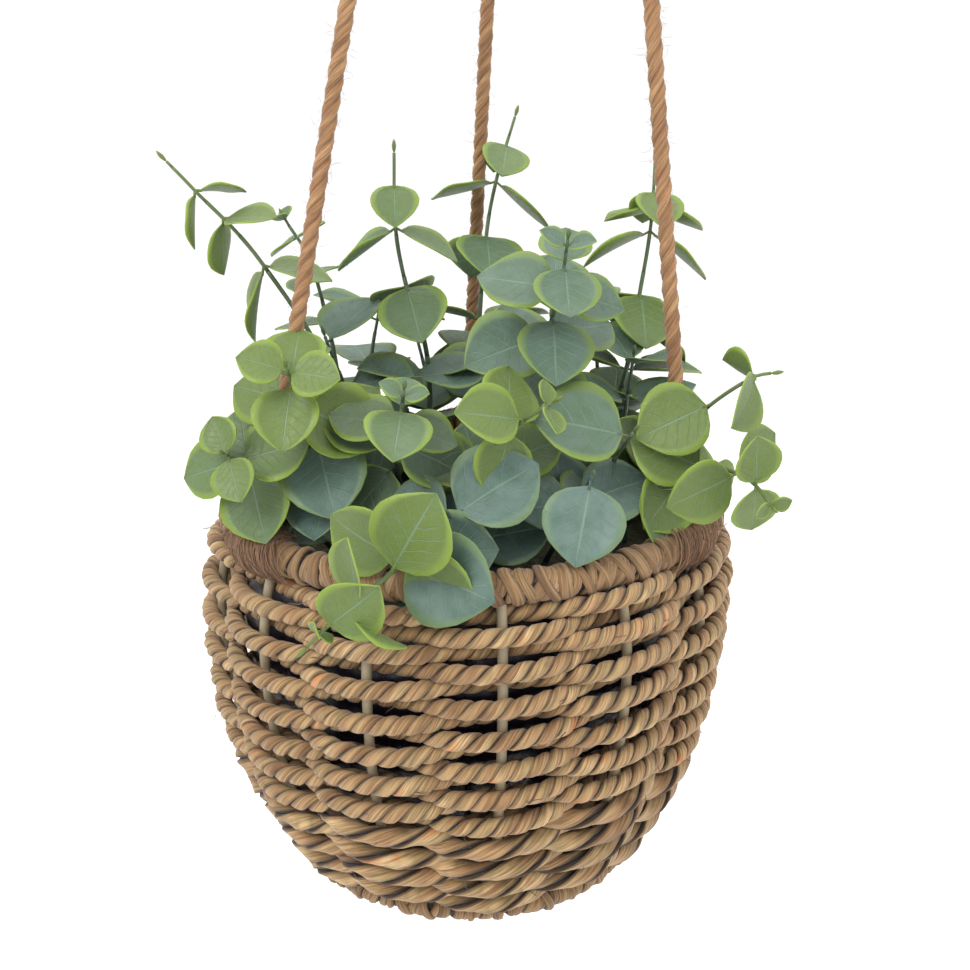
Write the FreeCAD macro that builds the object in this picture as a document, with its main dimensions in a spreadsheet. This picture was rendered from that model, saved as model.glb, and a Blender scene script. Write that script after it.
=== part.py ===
"""Hanging planter: a rope basket woven over wire stakes, hung on three jute ropes, with eucalyptus.

Millimetres. The origin is where a hook bears, at the inner top of the hanging loop's eye. +Z is up,
-Y is the front and +X is to the right. The basket's own axis stands off to -X by hang_offset,
because its three ropes are tied a little unevenly.
"""
import FreeCAD, Part
import math
import os
from FreeCAD import Rotation, Vector

SIZES = (
    # hanging loop, whipping and knot
    ("rope_thick", 5.5),
    ("eye_radius", 17.0),
    ("whipping_radius", 7.0),
    ("whipping_tall", 16.0),
    ("loop_sink", 2.3),
    ("knot_radius", 17.0),
    ("turn_gap", 0.3),
    # ropes
    ("rope_rise", 425.0),
    ("hang_offset", 21.0),
    ("rope_entry", 11.0),
    ("left_spread", 54.0),
    ("right_spread", 61.0),
    ("lashing_radius", 8.0),
    ("lashing_lift", 4.5),
    # basket frame, heights above the underside of the base
    ("rim_radius", 85.0),
    ("rim_height", 140.0),
    ("rim_wire_thick", 3.0),
    ("rim_wrap_thick", 11.0),
    ("widest_radius", 92.0),
    ("widest_height", 105.0),
    ("base_radius", 63.0),
    ("base_wire_thick", 3.0),
    ("base_wrap_thick", 9.0),
    ("base_flat", 0.6),
    ("stake_thick", 3.4),
    # weave
    ("weave_thick", 5.6),
    ("weave_gap", 0.2),
    ("weave_first", 9.0),
    ("weave_last", 9.0),
    ("floor_thick", 4.5),
    ("floor_lift", 2.5),
    # liner and foam
    ("liner_wall", 0.8),
    ("liner_gap", 0.8),
    ("liner_margin", 6.0),
    ("foam_gap", 0.3),
    ("foam_depth", 18.0),
    # eucalyptus
    ("stem_thick", 2.6),
    ("stem_bend_thick", 2.9),
    ("leaf_thick", 0.8),
    ("leaf_clear", 0.4),
    ("inner_clear", 3.0),
)
STAKES = 13
COURSES = 22
# A leaf's edge from its root to its point: how far along and how far out, as shares of its length.
LEAF_EDGE = ((0.0, 0.0), (0.14, 0.26), (0.38, 0.44), (0.64, 0.42), (0.88, 0.2), (1.0, 0.0))
# Each sprig is one or more shoots. A shoot is (stem points, leaves); points are from the basket's axis,
# at the rim's height. A row of leaves is (share of the stem's length, turn about the stem, lift towards
# its tip, length, length of the leaf opposite or 0 for none), with angles in degrees. Turn 0 faces
# +X and 90 is a quarter turn on, seen against the way that the stem grows.
SPRIGS = (
    ("sprig_arching_left", (
        (((-38, 6, -22), (-46, -12, 45), (-68, -25, 91), (-89, -25, 115), (-97, -26, 124)), (
            (0.73, 10, -45, 21, 24), (0.85, -25, -42, 18, 18), (0.925, 20, -42, 15, 17))),
        (((-52, 24, -22), (-48, 24, 30), (-56, 25, 78), (-66, 25, 98)), (
            (0.45, 90, 0, 22, 24), (0.68, 0, 5, 22, 18), (0.82, 60, -10, 16, 14), (0.93, -20, 0, 12, 12),
            (0.99, 70, 30, 6, 6))),
    )),
    ("sprig_tall_left", (
        (((-16, 14, -22), (-14, 5, 47), (-22, 2, 80), (-25, 0, 100), (-25, 0, 124)), (
            (0.45, 10, 10, 24, 24), (0.70, -80, -38, 24, 24), (0.83, 0, -30, 22, 23),
            (0.93, -85, -45, 16, 14))),
        (((-40, 20, -22), (-42, 4, 30), (-50, -6, 62)), (
            (0.5, 60, 10, 24, 24), (0.75, -10, 10, 25, 25), (0.97, 50, 5, 25, 22))),
    )),
    ("sprig_tall_back", (
        (((4, 36, -22), (4, 42, 40), (7, 50, 85), (11, 55, 108), (18, 60, 131)), (
            (0.50, 20, 5, 26, 26), (0.71, -80, -38, 25, 25), (0.845, 0, -25, 25, 23), (0.93, -85, -40, 18, 14))),
        (((-30, 40, -22), (-38, 52, 30), (-34, 54, 62)), (
            (0.45, 20, 15, 26, 26), (0.70, 110, 10, 26, 24), (0.92, 0, 10, 24, 24))),
        (((-8, 56, -22), (-14, 64, 18), (-22, 78, 48)), (
            (0.5, 90, 15, 26, 26), (0.75, 0, 15, 24, 24), (0.97, 90, 30, 18, 18))),
    )),
    ("sprig_high_right", (
        (((20, 4, -22), (20, -6, 40), (27, -24, 68), (30, -40, 87), (31, -50, 103)), (
            (0.67, -155, -12, 28, 26), (0.755, -92, 0, 25, 24), (0.86, 168, -12, 25, 20),
            (0.93, -92, -5, 21, 17), (0.985, 165, 25, 9, 9))),
        (((60, 8, -22), (58, 10, 20), (60, 6, 52)), (
            (0.5, 100, 15, 26, 26), (0.78, 10, 10, 24, 24), (0.97, -60, 20, 18, 18))),
    )),
    ("sprig_back_right", (
        (((38, 30, -22), (58, 30, 30), (65, 32, 73), (68, 35, 96), (69, 40, 119)), (
            (0.45, 0, 10, 26, 26), (0.66, -85, -38, 25, 25), (0.81, 0, -30, 25, 25), (0.865, 15, -15, 19, 17),
            (0.91, -75, -45, 18, 14))),
        (((48, 44, -22), (52, 48, 24), (48, 52, 66)), (
            (0.5, 90, 15, 26, 26), (0.75, 10, 10, 25, 25), (0.95, 80, 10, 20, 20))),
    )),
    ("sprig_leaning_right", (
        (((46, 2, -22), (62, -14, 14), (80, -26, 40), (95, -30, 53), (102, -30, 55)), (
            (0.55, 70, 20, 22, 22), (0.81, 210, -45, 25, 0), (0.95, -80, -35, 20, 14))),
        (((44, -16, -22), (66, -28, 12), (82, -38, 24), (93, -50, 24), (98, -63, 20)), (
            (0.52, -100, -10, 25, 24), (0.66, 150, -25, 25, 22), (0.80, -155, -15, 23, 20), (0.91, 95, -5, 16, 17),
            (0.99, 20, 20, 6, 6))),
    )),
    ("sprig_front_right", (
        (((22, -34, -22), (36, -50, 14), (39, -72, 33)), (
            (0.62, 20, 10, 24, 24), (0.98, -100, -12, 26, 0))),
        (((34, -20, -22), (46, -34, 18), (54, -52, 41)), (
            (0.6, 60, 10, 22, 22), (0.97, 178, -8, 30, 0))),
    )),
    ("sprig_centre", (
        (((4, -22, -22), (8, -50, 34), (16, -66, 48), (26, -73, 57)), (
            (0.55, 20, 5, 24, 26), (0.80, -100, -20, 21, 22), (0.88, 185, -15, 21, 0), (0.97, -75, 10, 10, 8))),
        (((16, 18, -22), (10, 10, 26), (8, 2, 50)), (
            (0.5, 20, 10, 26, 26), (0.78, 110, 5, 26, 26), (0.98, 10, 5, 24, 24))),
    )),
    ("sprig_centre_left", (
        (((-12, -20, -22), (-24, -45, 26), (-22, -58, 44), (-20, -66, 59)), (
            (0.60, -130, -12, 26, 22), (0.74, -20, -8, 24, 24), (0.85, 165, -10, 22, 18), (0.92, -95, -5, 21, 14),
            (0.985, 170, 20, 8, 8))),
    )),
    ("sprig_left_head", (
        (((-34, -14, -22), (-52, -28, 30), (-57, -42, 52), (-58, -53, 63)), (
            (0.60, 40, 0, 26, 26), (0.78, -25, -12, 26, 24), (0.90, 85, -8, 20, 21), (0.975, -12, 5, 16, 15))),
    )),
    ("sprig_far_left", (
        (((-48, -4, -22), (-66, -20, 10), (-75, -36, 24), (-80, -50, 33)), (
            (0.62, -105, -5, 22, 22), (0.80, -75, -8, 24, 20), (0.90, 12, -8, 22, 20), (0.985, 112, 5, 13, 15))),
        (((-30, -26, -22), (-46, -32, 14), (-52, -34, 36)), (
            (0.55, -60, 0, 25, 24), (0.75, -100, -20, 24, 0), (0.97, -80, -35, 28, 24))),
    )),
    ("sprig_low_front", (
        (((-8, -40, -22), (-16, -66, 4), (-22, -88, 12)), (
            (0.60, 40, 0, 24, 24), (0.82, 0, -10, 26, 26), (0.97, -25, -5, 30, 0))),
        (((2, -40, -22), (0, -60, 6), (-6, -78, 22)), (
            (0.60, 10, 0, 26, 24), (0.96, 30, -10, 30, 0), (0.90, 165, -15, 25, 0))),
    )),
    ("sprig_over_rim", (
        (((-20, -44, -22), (-18, -76, 8), (-25, -98, 9), (-37, -108, 3), (-48, -113, -7)), (
            (0.66, 65, -20, 27, 0), (0.80, 120, -20, 19, 0), (0.84, -30, -20, 21, 0), (0.93, 70, -65, 21, 0),
            (0.955, 120, -20, 6, 6))),
    )),
)

doc = FreeCAD.newDocument("hanging_planter")
sizes = doc.addObject("Spreadsheet::Sheet", "sizes")
for row, (alias, value) in enumerate(SIZES, start=1):
    sizes.set(f"A{row}", alias)
    sizes.set(f"B{row}", str(value))
    sizes.setAlias(f"B{row}", alias)
doc.recompute()


def size(alias):
    """A driving dimension, in millimetres or degrees."""
    return float(getattr(sizes, alias))


# Heights of the main pieces, measured from the origin.
EYE_Z = -(size("eye_radius") - size("rope_thick") / 2)
KNOT_Z = (EYE_Z - size("eye_radius") + size("loop_sink") - size("whipping_tall") - size("turn_gap")
          - size("knot_radius"))
RIM_Z = KNOT_Z - size("rope_rise")
BASE_Z = RIM_Z - size("rim_height")
AXIS_X = -size("hang_offset")
KNOT = Vector(0, 0, KNOT_Z)

# The wall's centre line is two arcs that meet at the widest height: a long one down to the base
# ring's wire and a short one up to the rim's.
LOW_ARC = (((size("widest_radius") - size("base_radius")) ** 2
            + (size("widest_height") - size("base_wrap_thick") / 2) ** 2)
           / (2 * (size("widest_radius") - size("base_radius"))))
CROWN_ARC = (((size("widest_radius") - size("rim_radius")) ** 2
              + (size("rim_height") - size("widest_height")) ** 2)
             / (2 * (size("widest_radius") - size("rim_radius"))))
LOW_TURN = math.asin((size("widest_height") - size("base_wrap_thick") / 2) / LOW_ARC)
CROWN_TURN = math.asin((size("rim_height") - size("widest_height")) / CROWN_ARC)


def wall_point(along, out=0.0):
    """Radius and height of the wall's line, `along` it from the widest height and `out` from it."""
    arc = CROWN_ARC if along > 0 else LOW_ARC
    turn = along / arc
    radius = size("widest_radius") - arc + (arc + out) * math.cos(turn)
    return radius, BASE_Z + size("widest_height") + (arc + out) * math.sin(turn)


def around(azimuth, radius, height):
    """A point round the basket's axis; azimuth in degrees from the front, towards +X."""
    turn = math.radians(azimuth)
    return Vector(AXIS_X + radius * math.sin(turn), -radius * math.cos(turn), height)


ROPE_AZIMUTHS = {"left": -size("left_spread"), "right": size("right_spread"), "back": 180.0}


def bind(thing, **cells):
    """Bind properties of an object to expressions over the sheet."""
    for name, expression in cells.items():
        thing.setExpression(name, expression)
    return thing


def ring(name, radius, tube, height, x=AXIS_X):
    """A level torus round the basket's axis."""
    torus = bind(doc.addObject("Part::Torus", name), Radius2=tube)
    torus.Radius1 = radius
    torus.Placement.Base = Vector(x, 0, height)
    return torus


def cut(name, base, tools):
    """base less every one of tools."""
    tool = tools[0]
    if len(tools) > 1:
        tool = doc.addObject("Part::MultiFuse", name + "_tools")
        tool.Shapes = tools
    made = doc.addObject("Part::Cut", name)
    made.Base, made.Tool = base, tool
    return made


def node(thing, name):
    """Name an object as a sub-part of the basket."""
    thing.Label = name
    nodes.append(thing)
    return thing


nodes = []


def make_hanger():
    """The eye on top, the whipping that closes it and the knot that the three ropes are tied in."""
    whipping = bind(doc.addObject("Part::Cylinder", "whipping"),
                    Radius="sizes.whipping_radius", Height="sizes.whipping_tall")
    whipping.Placement.Base = Vector(0, 0, KNOT_Z + size("knot_radius") + size("turn_gap"))
    eye = bind(doc.addObject("Part::Torus", "eye"), Radius1="sizes.eye_radius", Radius2="sizes.rope_thick / 2")
    eye.Placement = FreeCAD.Placement(Vector(0, 0, EYE_Z), Rotation(Vector(1, 0, 0), 90))
    node(cut("loop", eye, [whipping]), "hanging_loop")
    node(whipping, "rope_whipping")
    knot = bind(doc.addObject("Part::Sphere", "knot"), Radius="sizes.knot_radius")
    knot.Placement.Base = KNOT
    node(knot, "hanging_knot")


def make_frame():
    """Wires and wrappings of the rim and the base, and the stakes that stand between them."""
    rim_wire = ring("rim_wire_ring", size("rim_radius"), "sizes.rim_wire_thick / 2", RIM_Z)
    rim_wrap = ring("rim_wrap_ring", size("rim_radius"), "sizes.rim_wrap_thick / 2", RIM_Z)
    node(rim_wire, "rim_wire")
    node(cut("rim_wrap", rim_wrap, [rim_wire]), "rim_binding")

    base_centre = BASE_Z + size("base_wrap_thick") / 2
    base_wire = ring("base_wire_ring", size("base_radius"), "sizes.base_wire_thick / 2", base_centre)
    base_wrap = ring("base_wrap_ring", size("base_radius"), "sizes.base_wrap_thick / 2", base_centre)
    ground = bind(doc.addObject("Part::Cylinder", "ground"), Radius="sizes.base_radius * 2",
                  Height="sizes.base_wrap_thick")
    ground.Placement.Base = Vector(AXIS_X, 0, BASE_Z + size("base_flat") - size("base_wrap_thick"))
    node(base_wire, "base_wire")
    node(cut("base_wrap", base_wrap, [base_wire, ground]), "base_binding")

    floor_radius = size("base_radius") - size("base_wrap_thick") / 2 - size("weave_gap")
    floor = bind(doc.addObject("Part::Cylinder", "floor"), Height="sizes.floor_thick")
    floor.Radius = floor_radius
    floor.Placement.Base = Vector(AXIS_X, 0, BASE_Z + size("floor_lift"))
    node(floor, "base_floor")

    for number in range(STAKES):
        node(make_stake(number, [rim_wrap, base_wrap]), f"stake_{number + 1:02d}")


def make_stake(number, wraps):
    """One coated wire up the wall, its ends held in the rim's and the base's wrapping."""
    azimuth = 360.0 * (number + 0.25) / STAKES
    pieces = []
    for part, arc, start, sweep in (("low", LOW_ARC, -LOW_TURN, LOW_TURN), ("crown", CROWN_ARC, 0, CROWN_TURN)):
        bend = bind(doc.addObject("Part::Torus", f"stake_{part}_{number}"), Radius2="sizes.stake_thick / 2")
        bend.Radius1, bend.Angle3 = arc, math.degrees(sweep)
        upright = Rotation(Vector(1, 0, 0), 90) * Rotation(Vector(0, 0, 1), math.degrees(start))
        centre = around(azimuth, size("widest_radius") - arc, BASE_Z + size("widest_height"))
        bend.Placement = FreeCAD.Placement(centre, Rotation(Vector(0, 0, 1), azimuth - 90) * upright)
        pieces.append(bend)
    whole = doc.addObject("Part::MultiFuse", f"stake_wire_{number}")
    whole.Shapes = pieces
    return cut(f"stake_{number}", whole, wraps)


def make_weave():
    """Rope courses, one ring each, in turn outside and inside the stakes."""
    low = -LOW_ARC * LOW_TURN + size("weave_first")
    high = CROWN_ARC * CROWN_TURN - size("weave_last")
    beside = size("stake_thick") / 2 + size("weave_thick") / 2 + size("weave_gap")
    for number in range(COURSES):
        along = low + (high - low) * number / (COURSES - 1)
        radius, height = wall_point(along, beside if number % 2 == 0 else -beside)
        node(ring(f"course_{number}", radius, "sizes.weave_thick / 2", height), f"weave_{number + 1:02d}")


def crown_turn(out, height):
    """Turn up the crown's arc, in radians, at which a bowl `out` from the wall's line is that high."""
    return math.asin((height - BASE_Z - size("widest_height")) / (CROWN_ARC + out))


def bowl_face(out, floor_z, top_turn):
    """Half section of a bowl whose side runs beside the wall's line, from a level floor to top_turn."""
    widest_z = BASE_Z + size("widest_height")
    points = []
    for arc, turn in ((LOW_ARC, math.asin((floor_z - widest_z) / (LOW_ARC + out))), (CROWN_ARC, top_turn)):
        centre = size("widest_radius") - arc
        points.append([Vector(centre + (arc + out) * math.cos(share * turn), 0,
                              widest_z + (arc + out) * math.sin(share * turn)) for share in (1, 0.5, 0)])
    side, crown = points
    top = Vector(0, 0, crown[0].z)
    edges = [
        Part.makeLine(Vector(0, 0, floor_z), side[0]),
        Part.Arc(*side).toShape(),
        Part.Arc(crown[2], crown[1], crown[0]).toShape(),
        Part.makeLine(crown[0], top),
        Part.makeLine(top, Vector(0, 0, floor_z)),
    ]
    return Part.Face(Part.Wire(edges))


def turned(face):
    """A half section turned once round the basket's axis."""
    solid = face.revolve(Vector(0, 0, 0), Vector(0, 0, 1), 360)
    solid.translate(Vector(AXIS_X, 0, 0))
    return solid


def make_filling():
    """The plastic liner, open at the top, and the foam that the stems are pushed into."""
    inside = size("stake_thick") / 2 + size("weave_gap") + size("weave_thick") + size("liner_gap")
    floor_z = BASE_Z + size("floor_lift") + size("floor_thick") + size("weave_gap")
    wall = size("liner_wall")
    brim_turn = CROWN_TURN - size("liner_margin") / CROWN_ARC
    outer = turned(bowl_face(-inside, floor_z, brim_turn))
    inside += wall
    inner = turned(bowl_face(-inside, floor_z + wall, crown_turn(-inside, outer.BoundBox.ZMax + wall)))
    liner = doc.addObject("Part::Feature", "liner_bowl")
    liner.Shape = outer.cut(inner)
    node(liner, "liner")
    foam = doc.addObject("Part::Feature", "foam_block")
    inside += size("foam_gap")
    foam.Shape = turned(bowl_face(-inside, floor_z + wall + size("foam_gap"),
                                  crown_turn(-inside, RIM_Z - size("foam_depth"))))
    node(foam, "foam")


def rope_foot(azimuth):
    """Where a rope's line starts, in its lashing on top of the rim."""
    return around(azimuth, size("rim_radius"), RIM_Z + size("lashing_lift"))


def rope_reach(foot):
    """From a rope's foot to its end, which is in the knot but off the knot's centre towards the foot."""
    away = Vector(foot.x, foot.y, 0).normalize()
    return KNOT + away * size("rope_entry") - foot


def make_ropes():
    """Three taut ropes from the rim to the knot, and the jute lashing at the foot of each."""
    rim = doc.getObject("rim_wrap_ring")
    for place, azimuth in ROPE_AZIMUTHS.items():
        foot = rope_foot(azimuth)
        ball = bind(doc.addObject("Part::Sphere", f"ball_{place}"), Radius="sizes.lashing_radius")
        ball.Placement.Base = foot
        reach = rope_reach(foot)
        line = bind(doc.addObject("Part::Cylinder", f"line_{place}"), Radius="sizes.rope_thick / 2")
        line.Height = reach.Length
        line.Placement = FreeCAD.Placement(foot, Rotation(Vector(0, 0, 1), reach))
        clear = bind(doc.addObject("Part::Sphere", f"clear_{place}"),
                     Radius="sizes.knot_radius + sizes.turn_gap")
        clear.Placement.Base = KNOT
        node(cut(f"rope_line_{place}", line, [ball, clear]), f"rope_{place}")
        node(cut(f"lashing_ball_{place}", ball, [rim]), f"lashing_{place}")


def leaf_plate(root, direction, normal, length):
    """A flat pointed oval blade that starts at root and points along direction."""
    side = normal.cross(direction)
    outline = [direction * (length * reach) + side * (length * half) for reach, half in LEAF_EDGE]
    outline += [direction * (length * reach) - side * (length * half) for reach, half in LEAF_EDGE[-2:0:-1]]
    corners = [root + point - normal * (size("leaf_thick") / 2) for point in outline]
    return Part.Face(Part.makePolygon(corners + corners[:1])).extrude(normal * size("leaf_thick"))


def stem_point(points, share):
    """Place and direction at a share of a stem's length."""
    runs = [end - start for start, end in zip(points, points[1:])]
    left = share * sum(run.Length for run in runs)
    for start, run in zip(points, runs):
        if left <= run.Length + 1e-6:
            return start + run * (left / run.Length), run.normalize()
        left -= run.Length
    raise ValueError("share is past the stem's end")


def shoot_stem(points):
    """A shoot's stem: straight runs with a slightly thicker ball at each bend."""
    thick = size("stem_thick") / 2
    stem = Part.makeCylinder(thick, (points[1] - points[0]).Length, points[0], points[1] - points[0])
    for start, end in zip(points[1:], points[2:]):
        run = Part.makeCylinder(thick, (end - start).Length, start, end - start)
        stem = stem.fuse([Part.makeSphere(size("stem_bend_thick") / 2, start), run])
    return stem


def shoot_leaves(points, rows):
    """A shoot's leaves: each row is one leaf or a pair that stand opposite each other on the stem."""
    leaves = []
    for share, turn, lift, length, opposite in rows:
        root, along = stem_point(points, share)
        side = (Vector(1, 0, 0) - along * along.x).normalize()
        lift = math.radians(lift)
        for half_turn, reach in ((0, length), (180, opposite)):
            if reach == 0:
                continue
            out = Rotation(along, turn + half_turn).multVec(side)
            direction = out * math.cos(lift) + along * math.sin(lift)
            normal = along * math.cos(lift) - out * math.sin(lift)
            leaves.append(leaf_plate(root + out * (size("stem_thick") / 2), direction, normal, reach))
    return leaves


def give_way(solid, rooms):
    """The largest piece of a solid that lies outside every room, or None when nothing does."""
    for room in rooms:
        if solid.BoundBox.intersect(room.BoundBox) and solid.common(room).Volume > 0:
            rest = solid.cut(room).Solids
            if not rest:
                return None
            solid = max(rest, key=lambda piece: piece.Volume)
    return solid


def basket_envelope():
    """The room that the basket and its foam take, with the leaves' clearance round it."""
    clear = size("leaf_clear")
    outside = size("stake_thick") / 2 + size("weave_thick") + size("weave_gap") + clear
    body = turned(bowl_face(outside, BASE_Z + size("floor_lift"), crown_turn(outside, RIM_Z - clear)))
    inner = size("rim_radius") - size("rim_wrap_thick") / 2 - size("inner_clear")
    mouth = Part.makeCylinder(inner, size("rim_height"), Vector(AXIS_X, 0, RIM_Z - size("foam_depth")))
    rim = Part.makeTorus(size("rim_radius"), size("rim_wrap_thick") / 2 + clear, Vector(AXIS_X, 0, RIM_Z))
    return body.cut(mouth).fuse(rim)


def rope_envelopes():
    """The room that each rope and its lashing take, with the leaves' clearance round it."""
    clear = size("leaf_clear")
    rooms = []
    for azimuth in ROPE_AZIMUTHS.values():
        foot = rope_foot(azimuth)
        reach = rope_reach(foot)
        line = Part.makeCylinder(size("rope_thick") / 2 + clear, reach.Length, foot, reach)
        rooms.append(line.fuse(Part.makeSphere(size("lashing_radius") + clear, foot)))
    return rooms


def make_sprigs():
    """Sprigs of round-leaved eucalyptus; a leaf or stem gives way to each piece made before it."""
    basket_rooms = [basket_envelope()] + rope_envelopes()
    earlier = []
    for name, shoots in SPRIGS:
        solids = []
        for route, rows in shoots:
            points = [Vector(AXIS_X + x, y, RIM_Z + z) for x, y, z in route]
            solids.append(shoot_stem(points))
            solids += shoot_leaves(points, rows)
        kept = [give_way(solid, basket_rooms + earlier) for solid in solids]
        kept = [solid for solid in kept if solid is not None]
        sprig = doc.addObject("Part::Feature", name + "_shape")
        sprig.Shape = Part.makeCompound(kept)
        node(sprig, name)
        earlier += kept


def check_and_write():
    """Stop on any failed object or bad solid, then write one STEP file for each sub-part."""
    doc.recompute()
    for thing in doc.Objects:
        if "Invalid" in thing.State or "Error" in thing.State:
            raise RuntimeError(f"{thing.Label} failed: {thing.State}")
    os.makedirs("parts", exist_ok=True)
    for thing in nodes:
        shape = thing.Shape
        if shape.isNull() or not shape.isValid() or shape.Volume <= 0:
            raise RuntimeError(f"{thing.Label} has no valid shape")
        shape.exportStep(f"parts/{thing.Label}.step")
        print(f"{thing.Label}: {len(shape.Solids)} solid, {shape.Volume:.0f} mm3")


make_hanger()
make_frame()
make_weave()
make_filling()
make_ropes()
make_sprigs()
check_and_write()
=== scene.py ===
"""Hanging planter of seagrass rope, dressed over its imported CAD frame.

Everything is in metres in the frame's own axes: the origin is where a hook bears in the hanging eye,
+Z is up, -Y is the front and +X is to the right. Azimuths are in radians from the front towards +X.
"""

import logging
import math
import random
from dataclasses import dataclass, field
from enum import Enum
from typing import Callable, Iterable, Sequence

import bmesh
import bpy
from mathutils import Matrix, Vector, noise


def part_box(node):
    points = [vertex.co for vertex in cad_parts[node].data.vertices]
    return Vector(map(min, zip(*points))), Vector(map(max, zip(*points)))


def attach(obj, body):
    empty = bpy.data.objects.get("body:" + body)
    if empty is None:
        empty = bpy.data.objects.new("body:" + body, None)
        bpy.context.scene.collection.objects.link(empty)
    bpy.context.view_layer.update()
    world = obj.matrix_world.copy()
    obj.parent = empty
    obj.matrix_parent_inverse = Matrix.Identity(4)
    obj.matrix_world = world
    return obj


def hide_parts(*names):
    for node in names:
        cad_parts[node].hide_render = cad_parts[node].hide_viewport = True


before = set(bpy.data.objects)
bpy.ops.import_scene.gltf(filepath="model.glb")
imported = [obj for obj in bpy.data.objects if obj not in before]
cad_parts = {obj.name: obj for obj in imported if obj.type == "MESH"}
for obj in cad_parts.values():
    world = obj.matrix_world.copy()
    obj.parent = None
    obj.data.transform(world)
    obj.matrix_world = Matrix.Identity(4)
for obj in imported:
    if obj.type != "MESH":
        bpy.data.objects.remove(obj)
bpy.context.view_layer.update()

LOG = logging.getLogger("hanging_planter")
MM = 0.001
STAKES = 13
COURSES = 22
# The camera in millimetres, from the basket's axis at the rim's height.
VIEWPOINT = (-1.6, -489.0, 174.5)

Colour = tuple[float, float, float]
Spine = list[Vector]


class Body(Enum):
    """The rigid bodies that pieces ride on."""

    HANGER = "hanger"
    KNOT = "knot"
    BASKET = "basket"


class Slot(Enum):
    """The record's material slots."""

    JUTE = "jute_rope"
    SEAGRASS = "seagrass_rope"
    WRAP = "seagrass_wrap"
    LINER = "liner_film"
    FOAM = "foam"
    EUCALYPTUS = "eucalyptus"


# ---------------------------------------------------------------------------------------------
# Sizes
# ---------------------------------------------------------------------------------------------


@dataclass(frozen=True)
class Frame:
    """Places and sizes read from the CAD nodes' boxes."""

    axis_x: float
    rim_z: float
    rim_radius: float
    rim_tube: float
    base_z: float
    base_radius: float
    base_tube: float
    base_ring_z: float
    knot: Vector
    knot_radius: float
    eye_centre: Vector
    eye_radius: float
    whipping_low: float
    whipping_high: float
    foam_top: float

    @classmethod
    def read(cls) -> "Frame":
        """Measure the nodes that the visible pieces are built on."""
        rim_low, rim_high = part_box("rim_binding")
        base_low, base_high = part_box("base_binding")
        wire_low, wire_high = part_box("base_wire")
        knot_low, knot_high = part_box("hanging_knot")
        eye_low, eye_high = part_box("hanging_loop")
        whip_low, whip_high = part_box("rope_whipping")
        rim_tube = (rim_high[2] - rim_low[2]) / 2
        ring_z = (wire_low[2] + wire_high[2]) / 2
        base_tube = base_high[2] - ring_z
        rope = (eye_high[1] - eye_low[1]) / 2
        eye_half = (eye_high[0] - eye_low[0]) / 2
        return cls(
            axis_x=(rim_low[0] + rim_high[0]) / 2,
            rim_z=(rim_low[2] + rim_high[2]) / 2,
            rim_radius=(rim_high[0] - rim_low[0]) / 2 - rim_tube,
            rim_tube=rim_tube,
            base_z=ring_z - base_tube,
            base_radius=(base_high[0] - base_low[0]) / 2 - base_tube,
            base_tube=base_tube,
            base_ring_z=ring_z,
            knot=(Vector(knot_low) + Vector(knot_high)) / 2,
            knot_radius=(knot_high[0] - knot_low[0]) / 2,
            eye_centre=Vector(((eye_low[0] + eye_high[0]) / 2, 0.0, eye_high[2] - eye_half)),
            eye_radius=eye_half - rope,
            whipping_low=whip_low[2],
            whipping_high=whip_high[2],
            foam_top=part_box("foam")[1][2],
        )

    def around(self, azimuth: float, radius: float, height: float) -> Vector:
        """A point round the basket's own axis."""
        return Vector((self.axis_x + radius * math.sin(azimuth), -radius * math.cos(azimuth), height))


@dataclass(frozen=True)
class Wall:
    """The woven wall's line: a long arc down to the base ring and a short one up to the rim."""

    place: Frame
    widest_radius: float = 92 * MM
    widest_height: float = 105 * MM

    @property
    def low_arc(self) -> float:
        """Radius of the arc below the widest height."""
        across = self.widest_radius - self.place.base_radius
        rise = self.place.base_z + self.widest_height - self.place.base_ring_z
        return (across**2 + rise**2) / (2 * across)

    @property
    def crown_arc(self) -> float:
        """Radius of the arc above the widest height."""
        across = self.widest_radius - self.place.rim_radius
        rise = self.place.rim_z - self.place.base_z - self.widest_height
        return (across**2 + rise**2) / (2 * across)

    @property
    def low_length(self) -> float:
        """Length of the wall's line from the widest height down to the base ring."""
        rise = self.place.base_z + self.widest_height - self.place.base_ring_z
        return self.low_arc * math.asin(rise / self.low_arc)

    @property
    def crown_length(self) -> float:
        """Length of the wall's line from the widest height up to the rim."""
        rise = self.place.rim_z - self.place.base_z - self.widest_height
        return self.crown_arc * math.asin(rise / self.crown_arc)

    def point(self, along: float, out: float = 0.0) -> tuple[float, float]:
        """Radius and height at a place on the wall.

        Args:
            along: distance along the wall's line from the widest height, up is positive.
            out: distance outwards from the line.

        Returns:
            The radius from the basket's axis and the height.
        """
        arc = self.crown_arc if along > 0 else self.low_arc
        turn = along / arc
        radius = self.widest_radius - arc + (arc + out) * math.cos(turn)
        return radius, self.place.base_z + self.widest_height + (arc + out) * math.sin(turn)


# ---------------------------------------------------------------------------------------------
# Mesh tools
# ---------------------------------------------------------------------------------------------


@dataclass
class Strand:
    """One strand swept along a spine.

    Attributes:
        spine: the points that it follows.
        half_width: half its width, across the side that faces out.
        half_depth: half its depth.
        outward: for each spine point, the direction that its broad side faces.
        tint: a number from 0 to 1 that the finish uses to vary its colour.
        taper: share of its length over which each end narrows.
        ripple: how far its edge wanders, as a share of its size.
        sides: faces round it.
    """

    spine: Spine
    half_width: float
    half_depth: float
    outward: list[Vector] | None = None
    tint: float = 0.5
    taper: float = 0.0
    ripple: float = 0.06
    sides: int = 8


def line_length(spine: Spine) -> float:
    """Length of a line through the points."""
    return sum((b - a).length for a, b in zip(spine, spine[1:]))


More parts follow.
